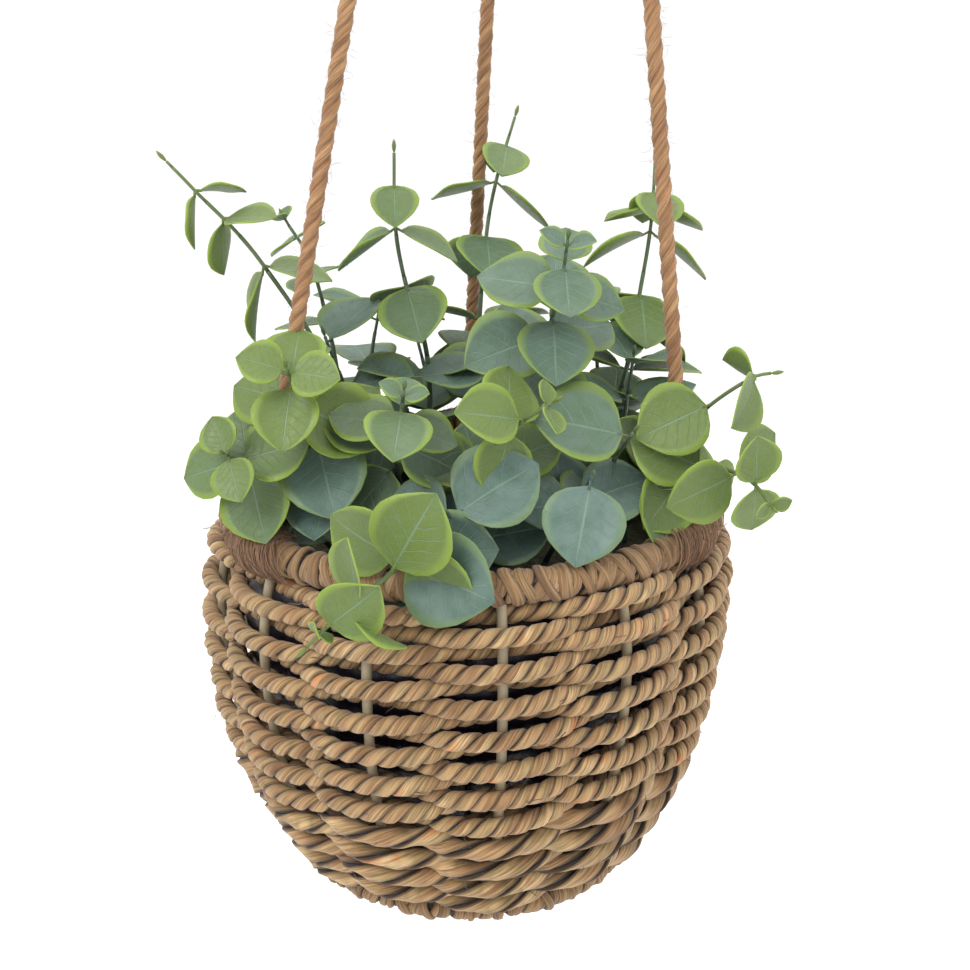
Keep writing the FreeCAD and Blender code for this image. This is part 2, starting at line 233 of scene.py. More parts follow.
def tangents(spine: Spine) -> list[Vector]:
    """The direction of a spine at each of its points."""
    last = len(spine) - 1
    return [(spine[min(i + 1, last)] - spine[max(i - 1, 0)]).normalized() for i in range(last + 1)]


def carried_normals(spine: Spine) -> list[Vector]:
    """A direction square to a spine at each point, carried along it with as little turn as it can."""
    along = tangents(spine)
    start = along[0].orthogonal().normalized()
    carried = [start]
    for before, here in zip(along, along[1:]):
        start = before.rotation_difference(here) @ start
        start = (start - here * start.dot(here)).normalized()
        carried.append(start)
    return carried


class Maker:
    """Collects strands and sheets in one mesh, with its UV map and attributes, and makes the piece."""

    def __init__(self, name: str) -> None:
        """Start an empty mesh for the piece of that name."""
        self.name = name
        self.bm = bmesh.new()
        self.uv = self.bm.loops.layers.uv.new("UVMap")
        self.tint = self.bm.verts.layers.float.new("tint")
        # The crease attribute carries painted crease shade on strands and the distance from the midrib on leaves.
        self.crease = self.bm.verts.layers.float.new("crease")

    def grid(self, along: int, across: int, place: Callable[[float, float], Vector], length: float = 1.0,
             tint: float = 0.5, crease: Callable[[float, float], float] | None = None,
             weld: float = 0.0) -> list[bmesh.types.BMVert]:
        """Lay a grid over a surface.

        Args:
            along: faces in the first direction.
            across: faces in the second direction.
            place: gives the surface's point for two shares from 0 to 1.
            length: what the first UV coordinate runs to.
            tint: the value of the tint attribute.
            crease: gives the crease attribute for the two shares.
            weld: distance under which vertices are merged, or 0 for none.

        Returns:
            The grid's vertices that remain.
        """
        made = bmesh.ops.create_grid(self.bm, x_segments=along, y_segments=across, size=0.5)["verts"]
        faces = {face for vert in made for face in vert.link_faces}
        for face in faces:
            face.smooth = True
            for loop in face.loops:
                first, second = loop.vert.co.x + 0.5, loop.vert.co.y + 0.5
                loop[self.uv].uv = (first * length, second)
        for vert in made:
            first, second = vert.co.x + 0.5, vert.co.y + 0.5
            vert[self.tint] = tint
            if crease is not None:
                vert[self.crease] = crease(first, second)
            vert.co = place(first, second)
        if weld > 0.0:
            bmesh.ops.remove_doubles(self.bm, verts=made, dist=weld)
        return [vert for vert in made if vert.is_valid]

    def strand(self, strand: Strand) -> None:
        """Sweep one strand: an oval, rippled tube with closed ends."""
        spine, along = strand.spine, tangents(strand.spine)
        normals = carried_normals(spine) if strand.outward is None else [
            (out - way * out.dot(way)).normalized() for out, way in zip(strand.outward, along)]
        steps = len(spine) - 1
        length = line_length(spine)
        seed = strand.tint * 91.7

        def place(first: float, second: float) -> Vector:
            step = min(round(first * steps), steps)
            angle = 2 * math.pi * second
            ripple = 1.0
            if strand.ripple > 0:
                ripple += strand.ripple * noise.noise((first * length * 160, second % 1.0 * 3.0, seed))
                ripple += strand.ripple * 0.6 * math.sin(3 * angle + seed)
            if strand.taper > 0:
                end = min(first, 1 - first) / strand.taper
                ripple *= 0.12 + 0.88 * math.sqrt(min(1.0, end))
            side = along[step].cross(normals[step])
            return (spine[step] + normals[step] * (math.cos(angle) * strand.half_depth * ripple)
                    + side * (math.sin(angle) * strand.half_width * ripple))

        weld = min(strand.half_width, strand.half_depth) * 0.002
        # The crease attribute runs from 0 on a strand's outward face to 1 on its inner face; the fibre finishes
        # paint crease shade with it.
        made = self.grid(steps, strand.sides, place, length, strand.tint,
                         lambda first, second: 0.5 - 0.5 * math.cos(2 * math.pi * second), weld)
        rims = {edge for vert in made for edge in vert.link_edges if edge.is_boundary}
        bmesh.ops.holes_fill(self.bm, edges=list(rims), sides=strand.sides)

    def piece(self, material: bpy.types.Material, slot: Slot, body: Body, nodes: Iterable[str] = (),
              outwards: bool = True) -> bpy.types.Object:
        """Finish the mesh as a piece of the planter.

        Args:
            material: its finish.
            slot: the record's slot for it, which this function does not use.
            body: the body that it rides on.
            nodes: the CAD nodes that it stands for.
            outwards: turn its faces outwards.

        Returns:
            The new object, which sits at the origin.
        """
        if outwards:
            bmesh.ops.recalc_face_normals(self.bm, faces=self.bm.faces)
        mesh = bpy.data.meshes.new(self.name)
        self.bm.to_mesh(mesh)
        self.bm.free()
        mesh.materials.append(material)
        thing = bpy.data.objects.new(self.name, mesh)
        bpy.context.scene.collection.objects.link(thing)
        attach(thing, body.value)
        nodes = list(nodes)
        if nodes:
            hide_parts(*nodes)
        LOG.info("%s: %d faces on %s", self.name, len(mesh.polygons), body.value)
        return thing


def smoothed(points: Sequence[Vector], steps: int) -> Spine:
    """Points along a smooth curve through the given ones, evenly spread over each stretch."""
    ends = [points[0] * 2 - points[1], *points, points[-1] * 2 - points[-2]]
    spine: Spine = []
    for a, b, c, d in zip(ends, ends[1:], ends[2:], ends[3:]):
        for step in range(steps):
            s = step / steps
            spine.append(0.5 * (b * 2 + (c - a) * s + (a * 2 - b * 5 + c * 4 - d) * s**2
                                + (b * 3 - a - c * 3 + d) * s**3))
    return spine + [points[-1].copy()]


def resampled(spine: Spine, spacing: float) -> Spine:
    """The same line with evenly spaced points, about spacing apart."""
    lengths = [0.0]
    for a, b in zip(spine, spine[1:]):
        lengths.append(lengths[-1] + (b - a).length)
    count = max(2, round(lengths[-1] / spacing))
    made, place = [], 0
    for step in range(count + 1):
        want = lengths[-1] * step / count
        while place < len(spine) - 2 and lengths[place + 1] < want:
            place += 1
        run = lengths[place + 1] - lengths[place]
        made.append(spine[place].lerp(spine[place + 1], (want - lengths[place]) / run if run else 0.0))
    return made


@dataclass(frozen=True)
class Lay:
    """How strands are laid up into a rope.

    Attributes:
        strands: how many.
        pitch: length of one full turn.
        offset: from the rope's centre to a strand's.
        half_width: half a strand's width round the rope.
        half_depth: half a strand's depth towards the centre.
        hand: 1 or -1, the way they turn.
    """

    strands: int
    pitch: float
    offset: float
    half_width: float
    half_depth: float
    hand: int = 1


def lay_rope(maker: Maker, spine: Spine, normals: list[Vector], lay: Lay, start: float = 0.0,
             tint: float = 0.5, looseness: Callable[[float], float] | None = None, ripple: float = 0.06,
             sides: int = 8) -> None:
    """Lay strands round a spine.

    Args:
        maker: the mesh they go in.
        spine: the rope's centre line.
        normals: a direction square to it at each point.
        lay: the rope's make.
        start: how far along the rope's turns this stretch begins, in metres.
        tint: the middle of the strands' tints.
        looseness: gives a factor on the pitch for a share of the length.
        ripple: how far strands' edges wander.
        sides: faces round each strand.
    """
    along = tangents(spine)
    for number in range(lay.strands):
        turn = lay.hand * 2 * math.pi * (start / lay.pitch + number / lay.strands)
        line, outward = [], []
        for step, (point, way, normal) in enumerate(zip(spine, along, normals)):
            if step:
                loose = looseness(step / len(spine)) if looseness else 1.0
                turn += lay.hand * 2 * math.pi * (point - spine[step - 1]).length / (lay.pitch * loose)
            away = normal * math.cos(turn) + way.cross(normal) * math.sin(turn)
            line.append(point + away * lay.offset)
            outward.append(away)
        maker.strand(Strand(line, lay.half_width, lay.half_depth, outward,
                            tint=tint + 0.13 * (number - (lay.strands - 1) / 2), ripple=ripple, sides=sides))


def hair(maker: Maker, root: Vector, way: Vector, length: float, thick: float, dice: random.Random,
         curl: float = 0.5, steps: int = 4, sides: int = 3, pull: Vector | None = None) -> None:
    """One loose fibre that wanders from its root.

    Args:
        maker: the mesh it goes in.
        root: where it starts.
        way: the way it sets out.
        length: its length.
        thick: its radius.
        dice: the source of its wandering.
        curl: how much it wanders.
        steps: runs along it.
        sides: faces round it.
        pull: a direction that it bends towards.
    """
    point, heading, spine = root.copy(), way.normalized(), [root.copy()]
    for _ in range(steps):
        wander = Vector((dice.gauss(0, 1), dice.gauss(0, 1), dice.gauss(0, 1))) * curl
        heading = (heading + wander * 0.5 + (pull if pull else Vector())).normalized()
        point = point + heading * (length / steps)
        spine.append(point.copy())
    maker.strand(Strand(spine, thick, thick, None, tint=dice.random(), taper=0.5, ripple=0.0, sides=sides))


# ---------------------------------------------------------------------------------------------
# Finishes
# ---------------------------------------------------------------------------------------------


class Nodes:
    """A short way to write a node tree."""

    def __init__(self, tree: bpy.types.NodeTree) -> None:
        """Work on that tree."""
        self.tree = tree

    def add(self, kind: str, **settings: object) -> bpy.types.Node:
        """A new node of a kind, with its properties set."""
        node = self.tree.nodes.new(kind)
        for name, value in settings.items():
            setattr(node, name, value)
        return node

    def feed(self, node: bpy.types.Node, **inputs: object) -> bpy.types.Node:
        """Set or link inputs of a node, named with underscores for spaces."""
        for name, value in inputs.items():
            socket = node.inputs[int(name[1:])] if name[0] == "_" else node.inputs[name.replace("_", " ")]
            if isinstance(value, bpy.types.NodeSocket):
                self.tree.links.new(value, socket)
            else:
                socket.default_value = value
        return node

    def maths(self, operation: str, first: object, second: object = 0.0, clamp: bool = False):
        """A Math node's output."""
        node = self.add("ShaderNodeMath", operation=operation, use_clamp=clamp)
        return self.feed(node, _0=first, _1=second).outputs[0]

    def mix(self, factor: object, first: object, second: object, blend: str = "MIX"):
        """A colour Mix node's output."""
        node = self.add("ShaderNodeMix", data_type="RGBA", blend_type=blend)
        for socket, value in zip((node.inputs["Factor"], node.inputs[6], node.inputs[7]),
                                 (factor, first, second)):
            if isinstance(value, bpy.types.NodeSocket):
                self.tree.links.new(value, socket)
            else:
                socket.default_value = (*value, 1.0) if isinstance(value, tuple) else value
        return node.outputs[2]

    def noise(self, vector: object, scale: float, detail: float = 3.0, rough: float = 0.55):
        """A Noise Texture's value."""
        node = self.add("ShaderNodeTexNoise")
        return self.feed(node, Vector=vector, Scale=scale, Detail=detail, Roughness=rough).outputs[0]

    def stretch(self, value: object, low: float, high: float, to_low: float = 0.0, to_high: float = 1.0):
        """A Map Range node's output, clamped."""
        node = self.add("ShaderNodeMapRange")
        return self.feed(node, Value=value, From_Min=low, From_Max=high, To_Min=to_low,
                         To_Max=to_high).outputs[0]

    def vector(self, x: object, y: object, z: object):
        """A Combine XYZ node's output."""
        return self.feed(self.add("ShaderNodeCombineXYZ"), X=x, Y=y, Z=z).outputs[0]

    def ramp(self, value: object, stops: Sequence[tuple[float, Colour]]):
        """A Color Ramp node's colour."""
        node = self.add("ShaderNodeValToRGB")
        elements = node.color_ramp.elements
        while len(elements) < len(stops):
            elements.new(1.0)
        for element, (place, colour) in zip(elements, stops):
            element.position, element.color = place, (*colour, 1.0)
        return self.feed(node, Fac=value).outputs[0]

    def attribute(self, name: str):
        """A float attribute's value."""
        return self.add("ShaderNodeAttribute", attribute_name=name).outputs["Fac"]


def node_group(name: str, inputs: Sequence[tuple[str, str]], outputs: Sequence[tuple[str, str]]
               ) -> tuple[bpy.types.NodeTree, bpy.types.Node, bpy.types.Node, Nodes]:
    """A new shader node group.

    Args:
        name: its name.
        inputs: name and socket type of each input.
        outputs: name and socket type of each output.

    Returns:
        The group, its input node, its output node and a writer for it.
    """
    tree = bpy.data.node_groups.new(name, "ShaderNodeTree")
    for way, sockets in (("INPUT", inputs), ("OUTPUT", outputs)):
        for label, kind in sockets:
            tree.interface.new_socket(name=label, in_out=way, socket_type=kind)
    nodes = Nodes(tree)
    return tree, nodes.add("NodeGroupInput"), nodes.add("NodeGroupOutput"), nodes


def new_finish(name: str) -> tuple[bpy.types.Material, Nodes, bpy.types.Node]:
    """An empty material, a writer for its nodes and its shader."""
    made = bpy.data.materials.new(name)
    made.use_nodes = True
    return made, Nodes(made.node_tree), made.node_tree.nodes["Principled BSDF"]


def fibre_group() -> bpy.types.NodeTree:
    """Plant fibres that run along a strand: fine streaks, broad patches and the strand's tint, and the crease
    attribute, which marks where the finish paints crease shade.
    """
    value = "NodeSocketFloat"
    tree, source, sink, nodes = node_group(
        "fibres",
        (("Along", value), ("Across", value), ("Patch", value)),
        (("Streak", value), ("Fine", value), ("Patches", value), ("Crease", value)))
    split = nodes.feed(nodes.add("ShaderNodeSeparateXYZ"), Vector=nodes.add("ShaderNodeUVMap").outputs[0])
    tint = nodes.maths("MULTIPLY", nodes.attribute("tint"), 37.0)
    along = nodes.maths("MULTIPLY", split.outputs[0], source.outputs["Along"])
    across = nodes.maths("MULTIPLY", split.outputs[1], source.outputs["Across"])
    streak = nodes.noise(nodes.vector(along, across, tint), 1.0, 4.0, 0.6)
    fine_across = nodes.maths("MULTIPLY", across, 3.1)
    fine = nodes.noise(nodes.vector(nodes.maths("MULTIPLY", along, 1.7), fine_across, tint), 1.0, 2.0, 0.6)
    patch = nodes.maths("MULTIPLY", split.outputs[0], source.outputs["Patch"])
    patches = nodes.noise(nodes.vector(patch, nodes.maths("MULTIPLY", split.outputs[1], 0.6), tint), 1.0, 2.0)
    nodes.feed(sink, Streak=streak, Fine=fine, Patches=patches, Crease=nodes.attribute("crease"))
    return tree


@dataclass(frozen=True)
class PlantFibre:
    """Dry plant fibre, twisted or wound: seagrass or jute.

    Attributes:
        name: the material's name.
        shades: colours from the darkest patches to the palest.
        crease: painted shade colour where a strand turns in under its neighbour.
        along: streaks per metre.
        across: streaks round a strand.
        patch: changes of shade per metre.
        depth: height of the fibres, in metres.
        sheen: strength of the fuzz's sheen.
    """

    name: str
    shades: tuple[Colour, ...]
    crease: Colour
    along: float = 60.0
    across: float = 14.0
    patch: float = 55.0
    depth: float = 0.35 * MM
    sheen: float = 0.15

    def material(self, group: bpy.types.NodeTree) -> bpy.types.Material:
        """The finished material."""
        made, nodes, shader = new_finish(self.name)
        fibres = nodes.add("ShaderNodeGroup", node_tree=group)
        nodes.feed(fibres, Along=self.along, Across=self.across, Patch=self.patch)
        last = len(self.shades) - 1
        stops = [(0.28 + 0.44 * place / last, shade) for place, shade in enumerate(self.shades)]
        base = nodes.ramp(fibres.outputs["Patches"], stops)
        dark = nodes.mix(1.0, base, (0.50, 0.43, 0.36), "MULTIPLY")
        streaked = nodes.mix(nodes.stretch(fibres.outputs["Streak"], 0.58, 0.40), base, dark)
        pale = nodes.mix(0.30, streaked, (0.85, 0.72, 0.48))
        lit = nodes.mix(nodes.stretch(fibres.outputs["Fine"], 0.60, 0.78, 0.0, 0.8), streaked, pale)
        # Painted crease shade: the crease colour laid over each strand's inner side, where shade falls between
        # strands.
        crease_shade = nodes.stretch(fibres.outputs["Crease"], 0.20, 0.62, 0.0, 0.95)
        colour = nodes.mix(crease_shade, lit, self.crease)
        rough = nodes.stretch(fibres.outputs["Streak"], 0.3, 0.7, 0.62, 0.88)
        height = nodes.maths("ADD", fibres.outputs["Streak"], nodes.maths("MULTIPLY", fibres.outputs["Fine"], 0.5))
        bump = nodes.feed(nodes.add("ShaderNodeBump"), Strength=1.0, Distance=self.depth, Height=height)
        nodes.feed(shader, Base_Color=colour, Roughness=rough, Normal=bump.outputs[0])
        shader.inputs["Sheen Weight"].default_value = self.sheen
        shader.inputs["Sheen Roughness"].default_value = 0.6
        shader.inputs["Specular IOR Level"].default_value = 0.3
        return made


@dataclass(frozen=True)
class Coating:
    """A smooth coating or film with faint stains."""

    name: str
    colour: Colour
    stain: Colour
    rough: float
    depth: float = 0.05 * MM
    scale: float = 90.0

    def material(self) -> bpy.types.Material:
        """The finished material."""
        made, nodes, shader = new_finish(self.name)
        place = nodes.add("ShaderNodeTexCoord").outputs["Object"]
        blot = nodes.noise(place, self.scale, 4.0)
        grain = nodes.noise(place, self.scale * 9, 3.0)
        colour = nodes.mix(nodes.stretch(blot, 0.45, 0.75), self.colour, self.stain)
        rough = nodes.stretch(grain, 0.3, 0.7, self.rough - 0.06, self.rough + 0.1)
        bump = nodes.feed(nodes.add("ShaderNodeBump"), Strength=0.6, Distance=self.depth, Height=grain)
        nodes.feed(shader, Base_Color=colour, Roughness=rough, Normal=bump.outputs[0])
        return made


@dataclass(frozen=True)
class MossFinish:
    """Dark moss and soil on the foam."""

    name: str = "moss"
    deep: Colour = (0.018, 0.016, 0.010)
    tuft: Colour = (0.075, 0.085, 0.028)

    def material(self) -> bpy.types.Material:
        """The finished material."""
        made, nodes, shader = new_finish(self.name)
        place = nodes.add("ShaderNodeTexCoord").outputs["Object"]
        clump = nodes.noise(place, 220.0, 5.0, 0.7)
        crumb = nodes.noise(place, 1100.0, 3.0, 0.7)
        colour = nodes.mix(nodes.stretch(clump, 0.42, 0.66), self.deep, self.tuft)
        colour = nodes.mix(nodes.stretch(crumb, 0.5, 0.8), colour, (0.16, 0.13, 0.06))
        bump = nodes.feed(nodes.add("ShaderNodeBump"), Strength=1.0, Distance=1.2 * MM,
                          Height=nodes.maths("ADD", clump, nodes.maths("MULTIPLY", crumb, 0.4)))
        nodes.feed(shader, Base_Color=colour, Normal=bump.outputs[0])
        shader.inputs["Roughness"].default_value = 0.95
        return made


@dataclass(frozen=True)
class LeafFinish:
    """A waxy grey-green leaf: pale veins, a thin yellow-green margin and a patchy bloom.

    The leaf's UV map runs from root to point and from edge to edge. Its tint is low for an old
    blue-grey leaf and high for a young yellow-green one.
    """

    name: str = "eucalyptus_leaf"
    old: Colour = (0.065, 0.120, 0.099)
    grown: Colour = (0.070, 0.122, 0.066)
    young: Colour = (0.100, 0.152, 0.020)
    margin: Colour = (0.195, 0.285, 0.026)
    bloom: Colour = (0.142, 0.215, 0.189)
    vein: Colour = (0.159, 0.249, 0.172)

    def material(self) -> bpy.types.Material:
        """The finished material."""
        made, nodes, shader = new_finish(self.name)
        split = nodes.feed(nodes.add("ShaderNodeSeparateXYZ"), Vector=nodes.add("ShaderNodeUVMap").outputs[0])
        along, across = split.outputs[0], split.outputs[1]
        tint = nodes.attribute("tint")
        edge = nodes.attribute("crease")
        side = nodes.maths("ABSOLUTE", nodes.maths("SUBTRACT", across, 0.5))
        place = nodes.add("ShaderNodeTexCoord").outputs["Object"]

        base = nodes.ramp(tint, ((0.0, self.old), (0.45, self.grown), (0.8, self.young)))
        patchy = nodes.noise(place, 110.0, 3.0)
        bloomed = nodes.maths("MULTIPLY", nodes.stretch(patchy, 0.38, 0.70),
                              nodes.stretch(tint, 0.75, 0.2, 0.08, 0.55))
        base = nodes.mix(bloomed, base, self.bloom)
        mottle = nodes.noise(place, 420.0, 4.0, 0.65)
        darker = nodes.mix(1.0, base, (0.6, 0.7, 0.6), "MULTIPLY")
        base = nodes.mix(nodes.stretch(mottle, 0.5, 0.75, 0.0, 0.22), base, darker)
        rim = nodes.maths("MULTIPLY", nodes.stretch(edge, 0.74, 1.0), nodes.stretch(tint, 0.0, 0.5, 0.30, 1.0))
        base = nodes.mix(rim, base, self.margin)

        wobble = nodes.maths("MULTIPLY", nodes.maths("SUBTRACT", nodes.noise(place, 160.0, 2.0), 0.5), 0.06)
        slant = nodes.maths("SUBTRACT", along, nodes.maths("MULTIPLY", side, 0.62))
        wave = nodes.maths("FRACT", nodes.maths("MULTIPLY", nodes.maths("ADD", slant, wobble), 6.5))
        branch = nodes.maths("ABSOLUTE", nodes.maths("SUBTRACT", wave, 0.5))
        branches = nodes.stretch(branch, 0.055, 0.0)
        branches = nodes.maths("MULTIPLY", branches, nodes.stretch(side, 0.42, 0.30))
        midrib = nodes.stretch(side, 0.022, 0.008)
        net = nodes.feed(nodes.add("ShaderNodeTexVoronoi", feature="DISTANCE_TO_EDGE"), Vector=place, Scale=420.0)
        netted = nodes.stretch(net.outputs["Distance"], 0.06, 0.0, 0.0, 0.25)
        veins = nodes.maths("MAXIMUM", midrib, nodes.maths("MAXIMUM", branches, netted))
        colour = nodes.mix(nodes.maths("MULTIPLY", veins, 0.55), base, self.vein)

        rough = nodes.stretch(mottle, 0.3, 0.7, 0.42, 0.60)
        height = nodes.maths("SUBTRACT", nodes.maths("MULTIPLY", mottle, 0.35), veins)
        bump = nodes.feed(nodes.add("ShaderNodeBump"), Strength=0.55, Distance=0.35 * MM, Height=height)
        nodes.feed(shader, Base_Color=colour, Roughness=rough, Normal=bump.outputs[0])
        shader.inputs["Subsurface Weight"].default_value = 0.12
        shader.inputs["Subsurface Radius"].default_value = (0.4, 1.0, 0.3)
        shader.inputs["Subsurface Scale"].default_value = 0.6 * MM
        shader.inputs["Sheen Weight"].default_value = 0.08
        return made


@dataclass(frozen=True)
class StemFinish:
    """A smooth stem, dark blue-green below and yellower on young growth."""

    name: str = "eucalyptus_stem"
    old: Colour = (0.050, 0.085, 0.070)
    young: Colour = (0.100, 0.152, 0.020)

    def material(self) -> bpy.types.Material:
        """The finished material."""
        made, nodes, shader = new_finish(self.name)
        place = nodes.add("ShaderNodeTexCoord").outputs["Object"]
        grain = nodes.noise(place, 600.0, 3.0)
        colour = nodes.mix(nodes.stretch(nodes.attribute("tint"), 0.2, 0.9), self.old, self.young)
        colour = nodes.mix(nodes.stretch(grain, 0.5, 0.8, 0.0, 0.4), colour, (0.20, 0.12, 0.07))
        bump = nodes.feed(nodes.add("ShaderNodeBump"), Strength=0.5, Distance=0.15 * MM, Height=grain)
        nodes.feed(shader, Base_Color=colour, Normal=bump.outputs[0])
        shader.inputs["Roughness"].default_value = 0.5
        return made


# Each fibre's crease colour is painted shade for where its strands turn in under each other.
SEAGRASS = PlantFibre(
    "seagrass",
    ((0.188, 0.096, 0.036), (0.294, 0.166, 0.069), (0.375, 0.222, 0.099), (0.419, 0.267, 0.123),
     (0.338, 0.234, 0.101), (0.537, 0.369, 0.185), (0.537, 0.222, 0.067)),
    crease=(0.030, 0.014, 0.006), across=20.0)
WRAPPING = PlantFibre(
    "seagrass_wrap",
    ((0.149, 0.077, 0.029), (0.239, 0.135, 0.057), (0.298, 0.176, 0.077), (0.260, 0.167, 0.071),
     (0.415, 0.261, 0.129)),
    crease=(0.024, 0.012, 0.005), across=18.0, patch=28.0)
JUTE = PlantFibre(
    "jute",
    ((0.240, 0.107, 0.040), (0.360, 0.185, 0.076), (0.448, 0.258, 0.117), (0.400, 0.211, 0.090)),
    crease=(0.200, 0.095, 0.040), along=120.0, across=26.0, patch=35.0, depth=0.25 * MM, sheen=0.2)
STAKE_COAT = Coating("coated_stake", (0.340, 0.280, 0.185), (0.220, 0.175, 0.110), rough=0.45)
WIRE_COAT = Coating("frame_wire", (0.060, 0.055, 0.050), (0.110, 0.080, 0.055), rough=0.5)
FILM = Coating("liner_film", (0.012, 0.009, 0.016), (0.022, 0.016, 0.030), rough=0.30, depth=0.4 * MM,
               scale=60.0)


# ---------------------------------------------------------------------------------------------
# The hanger and its ropes
# ---------------------------------------------------------------------------------------------

JUTE_LAY = Lay(strands=3, pitch=18 * MM, offset=1.32 * MM, half_width=1.62 * MM, half_depth=1.42 * MM)


@dataclass
class Ropes:
    """Three taut jute ropes from their lashings on the rim up to the knot, with their loose fibres."""

    place: Frame
    jute: bpy.types.Material
    diameter: float = 5.5 * MM
    lift: float = 4.5 * MM
    entry: float = 11 * MM
    turn_gap: float = 0.3 * MM
    fibres: int = 520
    spacing: float = 1.1 * MM
    azimuths: dict[str, float] = field(default_factory=lambda: {
        "left": math.radians(-54), "right": math.radians(61), "back": math.pi})

    def route(self, azimuth: float) -> list[Vector]:
        """The rope's own points, from its foot on the rim to its end in the knot."""
        foot = self.place.around(azimuth, self.place.rim_radius, self.place.rim_z + self.lift)
        end = self.place.knot + Vector((foot.x, foot.y, 0)).normalized() * self.entry
        down = (foot - end).normalized()
        inside = (end - self.place.knot).dot(down)
        reach = self.place.knot_radius + self.turn_gap
        top = end + down * (math.sqrt(inside**2 - self.entry**2 + reach**2) - inside)
        return [foot, foot.lerp(top, 0.25), foot.lerp(top, 0.5), foot.lerp(top, 0.75), top]

    def spline(self, name: str, points: Sequence[Vector]) -> Spine:
        """Points read from the route's NURBS spline."""
        curve = bpy.data.curves.new(name, "CURVE")
        curve.dimensions = "3D"
        line = curve.splines.new("NURBS")
        line.points.add(len(points) - 1)
        for slot, point in zip(line.points, points):
            slot.co = (*point, 1.0)
        line.order_u = 3
        line.use_endpoint_u = True
        line.resolution_u = 24
        holder = bpy.data.objects.new(name, curve)
        mesh = bpy.data.meshes.new_from_object(holder)
        spine = [vert.co.copy() for vert in mesh.vertices]
        bpy.data.objects.remove(holder)
        bpy.data.curves.remove(curve)
        bpy.data.meshes.remove(mesh)
        return spine

    def build(self) -> None:
        for number, (side, azimuth) in enumerate(self.azimuths.items()):
            route = self.route(azimuth)
            spine = resampled(self.spline(f"rope_line_{side}", route), self.spacing)
            maker = Maker(f"jute_rope_{side}")
            lay_rope(maker, spine, carried_normals(spine), JUTE_LAY, start=number * 4 * MM,
                     tint=0.35 + 0.15 * number, ripple=0.07, sides=8)
            rope = maker.piece(self.jute, Slot.JUTE, Body.BASKET, [f"rope_{side}"])
            length = line_length(spine)
            tuple(route[0])
            self.fuzz(side, spine)

    def fuzz(self, side: str, spine: Spine) -> None:
        """Short loose fibres that stand off one rope."""
        dice = random.Random(f"fuzz {side}")
        maker = Maker(f"rope_fibres_{side}")
        along, normals = tangents(spine), carried_normals(spine)
        for _ in range(self.fibres):
            step = dice.randrange(4, len(spine) - 4)
            angle = dice.uniform(0, 2 * math.pi)
            out = normals[step] * math.cos(angle) + along[step].cross(normals[step]) * math.sin(angle)
            way = out * dice.uniform(0.25, 1.0) + along[step] * dice.uniform(-1.2, 1.2)
            hair(maker, spine[step] + out * (self.diameter * 0.44), way, dice.uniform(2.0, 5.5) * MM,
                 0.045 * MM, dice, curl=0.7)
        maker.piece(self.jute, Slot.JUTE, Body.BASKET)


